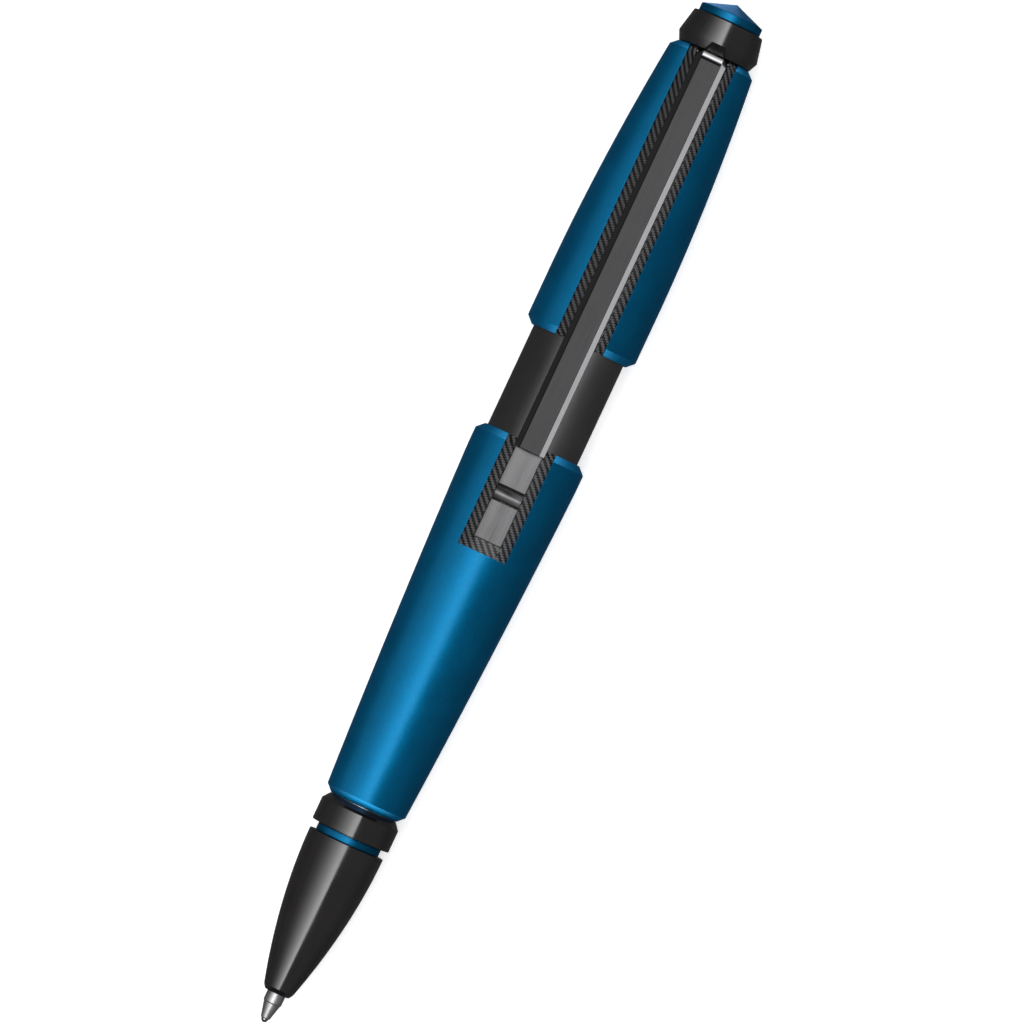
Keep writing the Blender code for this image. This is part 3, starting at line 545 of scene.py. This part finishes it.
def make_brushed(name, dark, light, rough, stretch, scale=7000.0, depth=0.000002):
    """A metal brushed along one direction, with faint handling marks."""
    tree, shader = make_material(name, metallic=1.0)
    grain = noise(tree, object_place(tree, stretch), scale, 4.0)
    marks = noise(tree, object_place(tree), 400.0, 4.0)
    shade = calculate(tree, "MULTIPLY_ADD", grain, 0.7, calculate(tree, "MULTIPLY", marks, 0.3))
    colour = blend_colours(tree, rescale(tree, shade, 0.3, 0.7), dark, light)
    roughness = rescale(tree, shade, 0.3, 0.7, rough, rough + 0.08)
    finish_looks(tree, shader, colour, roughness, bump(tree, grain, depth))


def make_plastic(name, dark, light, rough, scale, depth=0.000004, **constants):
    """A moulded plastic, rubber or paste with a fine grain and uneven gloss."""
    tree, shader = make_material(name, **constants)
    where = object_place(tree)
    grain = noise(tree, where, scale, 3.0)
    cloud = noise(tree, where, 220.0, 3.0)
    colour = blend_colours(tree, rescale(tree, cloud, 0.3, 0.7), dark, light)
    roughness = rescale(tree, grain, 0.3, 0.7, rough - 0.05, rough + 0.05)
    finish_looks(tree, shader, colour, roughness, bump(tree, grain, depth))


def make_materials():
    along = (0.02, 1.0, 1.0)
    across = (1.0, 0.02, 0.02)
    make_blue_lacquer()
    make_black_gloss()
    make_black_satin()
    make_carbon_weave()
    make_brushed("satin_steel", (0.42, 0.42, 0.43), (0.60, 0.60, 0.61), 0.26, along)
    make_brushed("clip_chrome", (0.130, 0.130, 0.134), (0.165, 0.165, 0.170), 0.14, along)
    make_brushed("tip_steel", (0.44, 0.44, 0.45), (0.58, 0.58, 0.59), 0.38, across, 16000.0)
    make_brushed("ball_steel", (0.30, 0.30, 0.31), (0.40, 0.40, 0.41), 0.16, (1.0, 1.0, 1.0), 9000.0)
    make_brushed("spring_wire", (0.45, 0.45, 0.47), (0.62, 0.62, 0.64), 0.2, (1.0, 1.0, 1.0), 5000.0)
    make_plastic("gear_plastic", (0.55, 0.54, 0.50), (0.68, 0.67, 0.63), 0.4, 2500.0)
    make_plastic("refill_plastic", (0.52, 0.54, 0.57), (0.62, 0.64, 0.66), 0.35, 2200.0,
                 transmission_weight=0.45, ior=1.5)
    make_plastic("gel_ink", (0.004, 0.004, 0.006), (0.009, 0.009, 0.013), 0.15, 900.0)
    make_plastic("grease", (0.42, 0.34, 0.16), (0.55, 0.46, 0.24), 0.22, 1100.0)
    make_plastic("rubber_black", (0.010, 0.010, 0.010), (0.022, 0.021, 0.021), 0.7, 4200.0, 0.000008)


# ---------------------------------------------------------------- lower half

def make_lower_barrel():
    low, high = LOWER_BOTTOM, LOWER_TOP
    bevel_top = high - MOUTH_BEVEL
    insert_top = reach("thread_insert")[1]
    liner_bottom = reach("lower_liner")[0] - GAP
    taper = [(h, lower_radius(h)) for h in spread(low + LOWER_BEVEL, bevel_top - LOWER_LAND, TAPER_STEPS)]
    outer = [(low, LOWER_FOOT_R), *taper, (bevel_top, BARREL_R), (high, MOUTH_R)]
    seat_r = half_width("thread_insert") + GAP
    tube_seat = reach("slide_tube")[0] - RUN
    inner = [
        (low, seat_r), (insert_top, seat_r), (insert_top + 0.5, LOWER_BORE_R),
        (tube_seat, LOWER_BORE_R), (tube_seat + STEP, TUBE_R + GAP),
        (liner_bottom - STEP, TUBE_R + GAP), (liner_bottom, lower_radius(liner_bottom) - SHELL_WALL),
        (bevel_top, BARREL_R - SHELL_WALL), (high, MOUTH_R - MOUTH_WALL),
    ]
    outer = with_point(rounded(outer, closed=False), NOTCH_BOTTOM)
    inner = with_point(inner, NOTCH_BOTTOM)
    show("lower_barrel", slotted("lower_barrel_fine", outer, inner, SLOT_HALF_WIDTH, NOTCH_BOTTOM), 0.07)


def make_lower_liner():
    low, high = reach("lower_liner")
    start = reach("detent_plate")[0] - GAP
    skin = SHELL_WALL + GAP
    bevel = LOWER_TOP - MOUTH_BEVEL - GAP
    outer = [(h, lower_radius(h) - skin) for h in spread(low, bevel, TAPER_STEPS)]
    outer += [(high, MOUTH_R - MOUTH_WALL - GAP)]
    inner = [(low, TUBE_R + GAP), (high, TUBE_R + GAP)]
    mesh = slotted("lower_liner_fine", with_point(outer, start), with_point(inner, start),
                   half_width("detent_plate") + GAP, start)
    show("lower_liner", mesh, 0.04)


def make_detent_plate():
    """A plate as round as the barrel, with a groove across it."""
    low, high = reach("detent_plate")
    bottom, top = above_axis("detent_plate")
    half = half_width("detent_plate")
    groove_half, depth = 1.05, 0.45
    middle = (low + high) / 2 - 0.05
    radius = (groove_half ** 2 + depth ** 2) / (2 * depth)
    half_angle = acos((radius - depth) / radius)
    line = [(low, top), (middle - groove_half, top)]
    line += [(middle + radius * sin(a), top - depth + radius - radius * cos(a))
             for a in spread(-half_angle, half_angle, 16)]
    line += [(middle + groove_half, top), (high, top)]
    work = bmesh.new()
    rows = []
    for across in spread(-half, half, 24):
        drop = top - sqrt(top ** 2 - across ** 2)
        upper = [work.verts.new(place(h, across, up - drop)) for h, up in line]
        rows.append([*upper, work.verts.new(place(high, across, bottom)),
                     work.verts.new(place(low, across, bottom))])
    for first, second in zip(rows, rows[1:]):
        for a, b, c, d in zip(first, [*first[1:], first[0]], [*second[1:], second[0]], second):
            work.faces.new([a, b, c, d])
    for end in (rows[0], rows[-1]):
        work.faces.new(end)
    bmesh.ops.remove_doubles(work, verts=work.verts, dist=1e-8)
    show("detent_plate", finished(work, "detent_plate_fine"), 0.06)


def make_slide_tube():
    low, high = reach("slide_tube")
    ring_low, ring_high = reach("friction_ring")
    stop_r = half_width("slide_tube")
    outline = [
        (low, TUBE_R), (STOP_Z[0], TUBE_R), (STOP_Z[0], stop_r), (STOP_Z[1], stop_r), (STOP_Z[1], TUBE_R),
        (ring_low - GAP, TUBE_R), (ring_low - GAP, TUBE_GROOVE_R), (ring_high + GAP, TUBE_GROOVE_R),
        (ring_high + GAP, TUBE_R), (high, TUBE_R), (high, TUBE_BORE_R), (low, TUBE_BORE_R),
    ]
    show("slide_tube", turned("slide_tube_fine", rounded(outline)))


def make_friction_ring():
    low, high = reach("friction_ring")
    middle, radius = (low + high) / 2, (high - low) / 2
    centre_r = half_width("friction_ring") - radius
    outline = [(middle + radius * cos(a), centre_r + radius * sin(a)) for a in spread(0.0, pi, 12)]
    outline += [(low, TUBE_GROOVE_R + GAP), (high, TUBE_GROOVE_R + GAP)]
    show("friction_ring", turned("friction_ring_fine", outline))


def make_barrel_collar():
    low, high = reach("barrel_collar")
    radius = half_width("barrel_collar")
    bore = half_width("thread_insert") + GAP
    outline = [(low, radius), (high - COLLAR_BEVEL, radius), (high, LOWER_FOOT_R), (high, bore), (low, bore)]
    show("barrel_collar", turned("barrel_collar_fine", rounded(outline)))


def make_threads():
    """The barrel's threaded insert and the nose's threaded sleeve."""
    low, high = reach("thread_insert")
    wall = half_width("thread_insert")
    crest, depth = INSERT_THREAD
    show("thread_insert", threaded("thread_insert_fine", low, high, crest, wall, THREAD_PITCH, depth))
    low, high = reach("nose_thread_sleeve")
    crest = half_width("nose_thread_sleeve")
    sleeve = threaded("nose_thread_sleeve_fine", low, high, crest, SLEEVE_BORE_R, THREAD_PITCH,
                      SLEEVE_THREAD_DEPTH)
    show("nose_thread_sleeve", sleeve)


# ---------------------------------------------------------------- upper half

def make_upper_shell():
    low, high = UPPER_BOTTOM, UPPER_TOP
    edge = high - UPPER_BEVEL
    taper = [(h, upper_radius(h)) for h in spread(UPPER_LAND_TOP, edge, TAPER_STEPS)]
    outer = [(low, MOUTH_R), (low + MOUTH_BEVEL, BARREL_R), *taper, (high, UPPER_TOP_R)]
    inside = [(h, upper_radius(h) - SHELL_WALL) for h in spread(UPPER_LAND_TOP, LINER_EDGE, TAPER_STEPS)]
    inner = [(low, MOUTH_R - MOUTH_WALL), (low + MOUTH_BEVEL, BARREL_R - SHELL_WALL),
             *inside, (high, UPPER_TOP_R - TOP_LIP)]
    mesh = slotted("upper_shell_fine", rounded(outer, closed=False), inner, SLOT_HALF_WIDTH, low - 1.0)
    show("upper_shell", mesh, 0.07)


def make_upper_liner():
    low, high = reach("upper_liner")
    skin = SHELL_WALL + GAP
    start = LEG_SLOT_BOTTOM
    outer = [(low, MOUTH_R - MOUTH_WALL - GAP), (low + MOUTH_BEVEL + GAP, BARREL_R - skin)]
    outer += [(h, upper_radius(h) - skin) for h in spread(UPPER_LAND_TOP, LINER_EDGE, TAPER_STEPS)]
    outer += [(high, LINER_TOP_R)]
    inner = [(low, TUBE_R + RUN), (FLANGE_TOP, TUBE_R + RUN), (FLANGE_TOP + STEP, STOP_BORE_R),
             (STOP_BORE_TOP, STOP_BORE_R)]
    inner += [(h, upper_radius(h) - skin - LINER_WALL)
              for h in spread(LINER_BORE_BOTTOM, LINER_EDGE, TAPER_STEPS)]
    inner += [(high, LINER_TOP_R - LINER_WALL)]
    half_slot = half_width("clip_blade") + RUN
    mesh = slotted("upper_liner_fine", with_point(outer, start), with_point(inner, start), half_slot, start)
    show("upper_liner", mesh, 0.04)


def make_crown():
    """The black collar and the pointed blue crown on it."""
    low, high = reach("crown_collar")
    radius = half_width("crown_collar")
    bottom_r, top_r = CROWN_COLLAR_R
    collar = [(low, bottom_r), (CROWN_COLLAR_EDGE, radius), (high, top_r),
              (high, CROWN_NECK_R), (low, CROWN_NECK_R)]
    show("crown_collar", turned("crown_collar_fine", rounded(collar, 0.14)))
    low, high = reach("crown_cone")
    radius = half_width("crown_cone")
    edge = low + CROWN_LAND
    hole_top = low + CROWN_SCREW_DEPTH
    cone = [(high, 0.0), (edge, radius), (low, radius), (low, CROWN_SCREW_R),
            (hole_top, CROWN_SCREW_R), (hole_top, 0.0)]
    mesh = turned("crown_cone_fine", rounded(softened_point(cone), 0.12))
    show("crown_cone", mesh)


def softened_point(cone):
    """A cone's outline with its point rounded off a little below its full height."""
    (tip, _), (edge, radius), *rest = cone
    slope = (tip - edge) / radius
    drop = slope * CROWN_BLUNT / 2
    cap = [(tip - drop * (share ** 2 + share), CROWN_BLUNT * share)
           for share in spread(0.0, 1.0, 5)]
    return [*cap, (edge, radius), *rest]


# ---------------------------------------------------------------- clip

def make_clip_blade():
    """A straight bar with chamfered edges, whose rounded shoulder turns down into a leg."""
    low, high = reach("clip_blade")
    foot, face = above_axis("clip_blade")
    half = half_width("clip_blade")
    thickness, shoulder, chamfer, leg = 1.3, 1.25, 0.7, 2.0
    centre = (high - shoulder, face - shoulder)
    top = [(low, face)]
    top += [(centre[0] + shoulder * sin(a), centre[1] + shoulder * cos(a)) for a in spread(0.0, pi / 2, 12)]
    top += [(high, foot)]
    outline = [*top, (high - leg, foot), (high - leg, face - thickness), (low, face - thickness)]
    work = bmesh.new()
    left, right = [[work.verts.new(place(h, side * half, up)) for h, up in outline] for side in (1, -1)]
    work.faces.new(left)
    work.faces.new(right[::-1])
    for a, b, c, d in zip(left, [*left[1:], left[0]], [*right[1:], right[0]], right):
        work.faces.new([a, b, c, d])
    bmesh.ops.recalc_face_normals(work, faces=work.faces)
    rims = [work.edges.get(pair) for side in (left, right) for pair in zip(side, side[1:len(top)])]
    bmesh.ops.bevel(work, geom=rims, offset=chamfer * MM, offset_type="OFFSET", segments=1,
                    affect="EDGES", profile=0.5)
    show("clip_blade", finished(work, "clip_blade_fine"), 0.07)


# ---------------------------------------------------------------- nose and refill

def make_nose_cone():
    low, high = reach("nose_cone")
    top_r = half_width("nose_cone")
    corner = low + NOSE_CORNER
    taper = [(h, top_r - (top_r - NOSE_CORNER_R) * ((high - h) / (high - corner)) ** NOSE_POWER)
             for h in spread(corner, high, TAPER_STEPS)]
    sleeve = half_width("nose_thread_sleeve") + GAP
    spring_low, spring_high = SPRING_BORE_Z
    outline = [(low, NOSE_END_R), *taper, (high, sleeve), (SLEEVE_BORE_BOTTOM, sleeve),
               (spring_high, SPRING_BORE_R), (spring_low, SPRING_BORE_R),
               (spring_low, NOSE_BORE_R), (low, NOSE_BORE_R)]
    show("nose_cone", turned("nose_cone_fine", rounded(outline)))


def make_accent_ring():
    low, high = reach("accent_ring")
    radius, bore = half_width("accent_ring"), half_width("nose_thread_sleeve") + GAP
    outline = [(low, radius), (high, radius), (high, bore), (low, bore)]
    show("accent_ring", turned("accent_ring_fine", rounded(outline, 0.06)))


def make_refill_tip():
    """The point: a ball seat with a rolled rim, a cone, a narrow step and a shank."""
    low, high = reach("refill_tip")
    shank = half_width("refill_tip")
    end_r, rim_r = TIP_RIM_R
    outline = [(low, SEAT_R), (low, end_r), (low + 0.14, rim_r), *TIP_CONE, (2.62, shank),
               (TIP_NECK_BOTTOM, shank), (TIP_NECK_BOTTOM, TIP_NECK_R), (high, TIP_NECK_R),
               (high, INK_BORE_R), (low + 0.8, INK_BORE_R), (low + 0.7, SEAT_R)]
    show("refill_tip", turned("refill_tip_fine", rounded(outline, 0.07), SMALL_SEGMENTS))
    radius = half_width("tip_ball")
    centre = sum(reach("tip_ball")) / 2
    ball = [(centre - radius * cos(a), max(radius * sin(a), 0.0)) for a in spread(0.0, pi, 24)]
    ball[-1] = (centre + radius, 0.0)
    show("tip_ball", turned("tip_ball_fine", ball, SMALL_SEGMENTS))


def make_refill():
    low, high = reach("refill_tube")
    outer = half_width("refill_tube")
    tube = [(low, outer), (high, outer), (high, REFILL_BORE_R), (low, REFILL_BORE_R)]
    show("refill_tube", turned("refill_tube_fine", rounded(tube), SMALL_SEGMENTS))
    low, high = reach("refill_tip_holder")
    plug = half_width("refill_tip_holder")
    tip_r, under_r, shoulder_r = HOLDER_R
    (wide_z, wide_r), (narrow_z, narrow_r) = HOLDER_BORE
    holder = [(low, tip_r), (HOLDER_SHOULDER, under_r), (HOLDER_SHOULDER, shoulder_r),
              (HOLDER_PLUG_BOTTOM, shoulder_r), (HOLDER_PLUG_BOTTOM, plug), (high, plug),
              (high, wide_r), (wide_z, wide_r), (narrow_z, narrow_r), (low, narrow_r)]
    show("refill_tip_holder", turned("refill_tip_holder_fine", rounded(holder), SMALL_SEGMENTS))


def make_refill_spring():
    """A coil with a flat turn at each end."""
    low, high = reach("refill_spring")
    wire, coil, flat_turns, open_turns, per_turn, sides = 0.13, 1.85, 1.0, 6.0, 32, 10
    pitch = (high - low - 2 * wire - 2 * flat_turns * 2.1 * wire) / open_turns
    work = bmesh.new()
    rings = []
    turns = 2 * flat_turns + open_turns
    for turn in spread(0.0, turns, int(turns * per_turn)):
        flat = min(turn, flat_turns) + max(turn - flat_turns - open_turns, 0.0)
        rise = min(max(turn - flat_turns, 0.0), open_turns) * pitch + flat * 2.1 * wire
        angle = 2 * pi * turn
        rings.append([
            work.verts.new(place(low + wire + rise + wire * sin(side),
                                 (coil + wire * cos(side)) * sin(angle),
                                 (coil + wire * cos(side)) * cos(angle)))
            for side in spread(0.0, 2 * pi, sides)[:-1]
        ])
    for first, second in zip(rings, rings[1:]):
        for a, b, c, d in zip(first, [*first[1:], first[0]], [*second[1:], second[0]], second):
            work.faces.new([a, b, c, d])
    for end in (rings[0], rings[-1]):
        work.faces.new(end)
    mesh = finished(work, "refill_spring_fine")
    spring = bpy.data.objects.new("refill_spring_fine", mesh)
    bpy.context.scene.collection.objects.link(spring)
    mesh.materials.append(MATERIALS[SLOTS["refill_spring"]])
    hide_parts("refill_spring")
    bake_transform(spring)


# ---------------------------------------------------------------- floor, light and camera

def add_stage(name, mesh, material):
    item = bpy.data.objects.new(name, mesh)
    bpy.context.scene.collection.objects.link(item)
    mesh.materials.append(material)
    return item


def make_floor():
    """A pale desk top that glows a little. The pieces neither reflect it nor are shaded by it."""
    tree, shader = make_material("desk", roughness=0.6)
    shader.inputs["Emission Color"].default_value = (1.0, 1.0, 1.0, 1.0)
    shader.inputs["Emission Strength"].default_value = 0.6
    grain = noise(tree, object_place(tree), 60.0, 4.0)
    tree.links.new(blend_colours(tree, grain, (0.86, 0.86, 0.86), (0.90, 0.90, 0.90)),
                   shader.inputs["Base Color"])
    mesh = bpy.data.meshes.new("desk")
    corners = [(-1.5, -1.5, 0.0), (1.5, -1.5, 0.0), (1.5, 1.5, 0.0), (-1.5, 1.5, 0.0)]
    mesh.from_pydata(corners, [], [(0, 1, 2, 3)])
    floor = add_stage("desk", mesh, MATERIALS["desk"])
    floor.visible_glossy = False
    floor.visible_shadow = False


def make_glow(name, stops):
    """A glowing material whose strength changes along the map's first direction."""
    material = bpy.data.materials.new(name)
    material.use_nodes = True
    tree = material.node_tree
    tree.nodes.clear()
    strongest = max(strength for _, strength in stops)
    skin = add(tree, "SeparateXYZ", {"Vector": add(tree, "UVMap", uv_map=SKIN).outputs["UV"]})
    ramp = add(tree, "ValToRGB", {"Fac": skin.outputs["X"]})
    elements = ramp.color_ramp.elements
    for index, (share, strength) in enumerate(stops):
        point = elements[index] if index < 2 else elements.new(share)
        point.position = share
    for point, (_, strength) in zip(elements, stops):
        point.color = (*[strength / strongest] * 3, 1.0)
    emission = add(tree, "Emission", {"Color": ramp.outputs["Color"], "Strength": strongest})
    add(tree, "OutputMaterial", {"Surface": emission.outputs["Emission"]})
    return material


def gathered(name, pieces):
    """A collection of the pieces that a light falls on."""
    group = bpy.data.collections.new(name + "_receivers")
    for piece in pieces:
        group.objects.link(piece)
    return group


def add_light(name, corners, stops, receivers):
    """A glowing panel from rows of corners; its strength changes from row to row."""
    work = bmesh.new()
    skin = work.loops.layers.uv.new(SKIN)
    rows = [[work.verts.new(corner) for corner in line] for line in corners]
    for index, (first, second) in enumerate(zip(rows, rows[1:])):
        face = work.faces.new([first[0], first[1], second[1], second[0]])
        for loop, step in zip(face.loops, (0, 0, 1, 1)):
            loop[skin].uv = ((index + step) / (len(rows) - 1), 0.0)
    mesh = bpy.data.meshes.new(name)
    work.to_mesh(mesh)
    work.free()
    panel = add_stage(name, mesh, make_glow(name, stops))
    panel.visible_camera = False
    panel.visible_shadow = False
    panel.light_linking.receiver_collection = gathered(name, receivers)


def arc_light(name, stops, length, receivers):
    """A light bent round the pen's axis. Stops are (degrees from straight up to the left, strength)."""
    radius = 0.45
    first, last = stops[0][0], stops[-1][0]
    corners = []
    for angle in spread(radians(first), radians(last), 24):
        y, z = radius * sin(angle), AXIS_Z + radius * cos(angle)
        corners.append([(-length / 2, y, z), (length / 2, y, z)])
    shares = [((angle - first) / (last - first), strength) for angle, strength in stops]
    add_light(name, corners, shares, receivers)


def end_light(name, x, receivers):
    """An upright panel beyond one end of the pen, with a brighter band above the pen's height."""
    corners = [[(x, -0.3, z), (x, 0.3, z)] for z in (-0.3, 0.3)]
    add_light(name, corners, [(0.0, 1.0), (0.5, 2.2), (0.6, 6.5), (0.85, 6.5), (1.0, 3.0)], receivers)


def flat_light(name, middle, size, strength, receivers):
    """A soft box that faces the pen and that other pieces neither see nor catch."""
    light = bpy.data.lights.new(name, "AREA")
    light.shape = "RECTANGLE"
    light.size, light.size_y = size
    light.energy = strength * pi * size[0] * size[1]
    item = bpy.data.objects.new(name, light)
    item.location = middle
    item.rotation_euler = (PEN_MIDDLE - Vector(middle)).to_track_quat("-Z", "Y").to_euler()
    item.visible_camera = False
    bpy.context.scene.collection.objects.link(item)
    item.light_linking.receiver_collection = gathered(name, receivers)


def make_lights():
    """Three panels and eight soft boxes; each lights only the pieces it is given."""
    shown = [item for item in bpy.data.objects if item.type == "MESH" and not item.hide_render]

    def starting(*names):
        return [item for item in shown if item.name.startswith(names)]

    blade = starting("clip_blade")
    tube = starting("slide_tube")
    plate = starting("detent_plate")
    liners = starting("lower_liner", "upper_liner")
    shells = starting("lower_barrel", "upper_shell", "accent_ring")
    in_slot = [*starting("clip"), *tube, *plate, *liners]
    key = [(-8.0, 3.9), (0.0, 3.9), (17.0, 2.05), (34.0, 1.0), (52.0, 0.38), (75.0, 0.11)]
    arc_light("key_light", key, 0.9, [item for item in shown if item not in in_slot])
    end_light("crown_light", 0.45, [*shells, *blade])
    end_light("tip_light", -0.45, shells)
    flat_light("shell_light", (0.0, 0.35, 0.2), (0.9, 0.4), 0.42, shells)
    flat_light("cone_light", (0.31, 0.07, -0.3), (0.2, 0.3), 1.5, starting("crown_cone"))
    flat_light("clip_light", OVERHEAD, (0.5, 0.2), 0.56, starting("clip"))
    flat_light("clip_edge_light", (0.0, -0.4, 0.03), (0.9, 0.2), 2.5, blade)
    flat_light("tube_light", OVERHEAD, (0.5, 0.2), 6.0, tube)
    flat_light("plate_light", OVERHEAD, (0.5, 0.08), 1.1, plate)
    flat_light("plate_fill", (0.06, 0.12, 0.4), (0.5, 0.2), 0.22, plate)
    flat_light("carbon_light", OVERHEAD, (0.5, 0.2), 2.8, liners)


def make_world():
    """A dim grey room that is darker below the desk."""
    world = bpy.data.worlds.new("studio")
    world.use_nodes = True
    tree = world.node_tree
    direction = add(tree, "SeparateXYZ", {"Vector": add(tree, "TexCoord").outputs["Generated"]})
    strength = rescale(tree, direction.outputs["Z"], -0.3, 0.3, 0.08, 0.17)
    tree.links.new(strength, tree.nodes["Background"].inputs["Strength"])
    tree.nodes["Background"].inputs["Color"].default_value = (0.98, 0.99, 1.0, 1.0)
    bpy.context.scene.world = world


def make_camera():
    """Straight above the pen, turned so that the pen leans to the right."""
    lean = radians(PEN_LEAN)
    right = Vector((sin(lean), -cos(lean), 0.0))
    up = Vector((cos(lean), sin(lean), 0.0))
    low, high = CAD_BOX
    middle = Vector(((low.x + high.x) / 2, 0.0, AXIS_Z))
    camera = bpy.data.cameras.new("camera")
    camera.lens = 300.0
    camera.sensor_width = 36.0
    item = bpy.data.objects.new("camera", camera)
    to_right, to_top = VIEW_OFFSET
    item.location = middle + right * to_right * MM + up * to_top * MM + Vector((0.0, 0.0, CAMERA_HEIGHT * MM))
    item.rotation_euler = (0.0, 0.0, lean - pi / 2)
    bpy.context.scene.collection.objects.link(item)
    bpy.context.scene.camera = item


# ---------------------------------------------------------------- the scene

def make_pieces():
    make_lower_barrel()
    make_lower_liner()
    make_detent_plate()
    make_slide_tube()
    make_friction_ring()
    make_barrel_collar()
    make_threads()
    make_upper_shell()
    make_upper_liner()
    make_crown()
    make_clip_blade()
    make_nose_cone()
    make_accent_ring()
    make_refill_tip()
    make_refill()
    make_refill_spring()
    for node, piece in frame["nodes"].items():
        if not piece.hide_render:
            dress(node)


make_materials()
make_pieces()
make_floor()
make_lights()
make_world()
make_camera()
bpy.context.scene.view_settings.view_transform = "Standard"

bpy.context.view_layer.update()
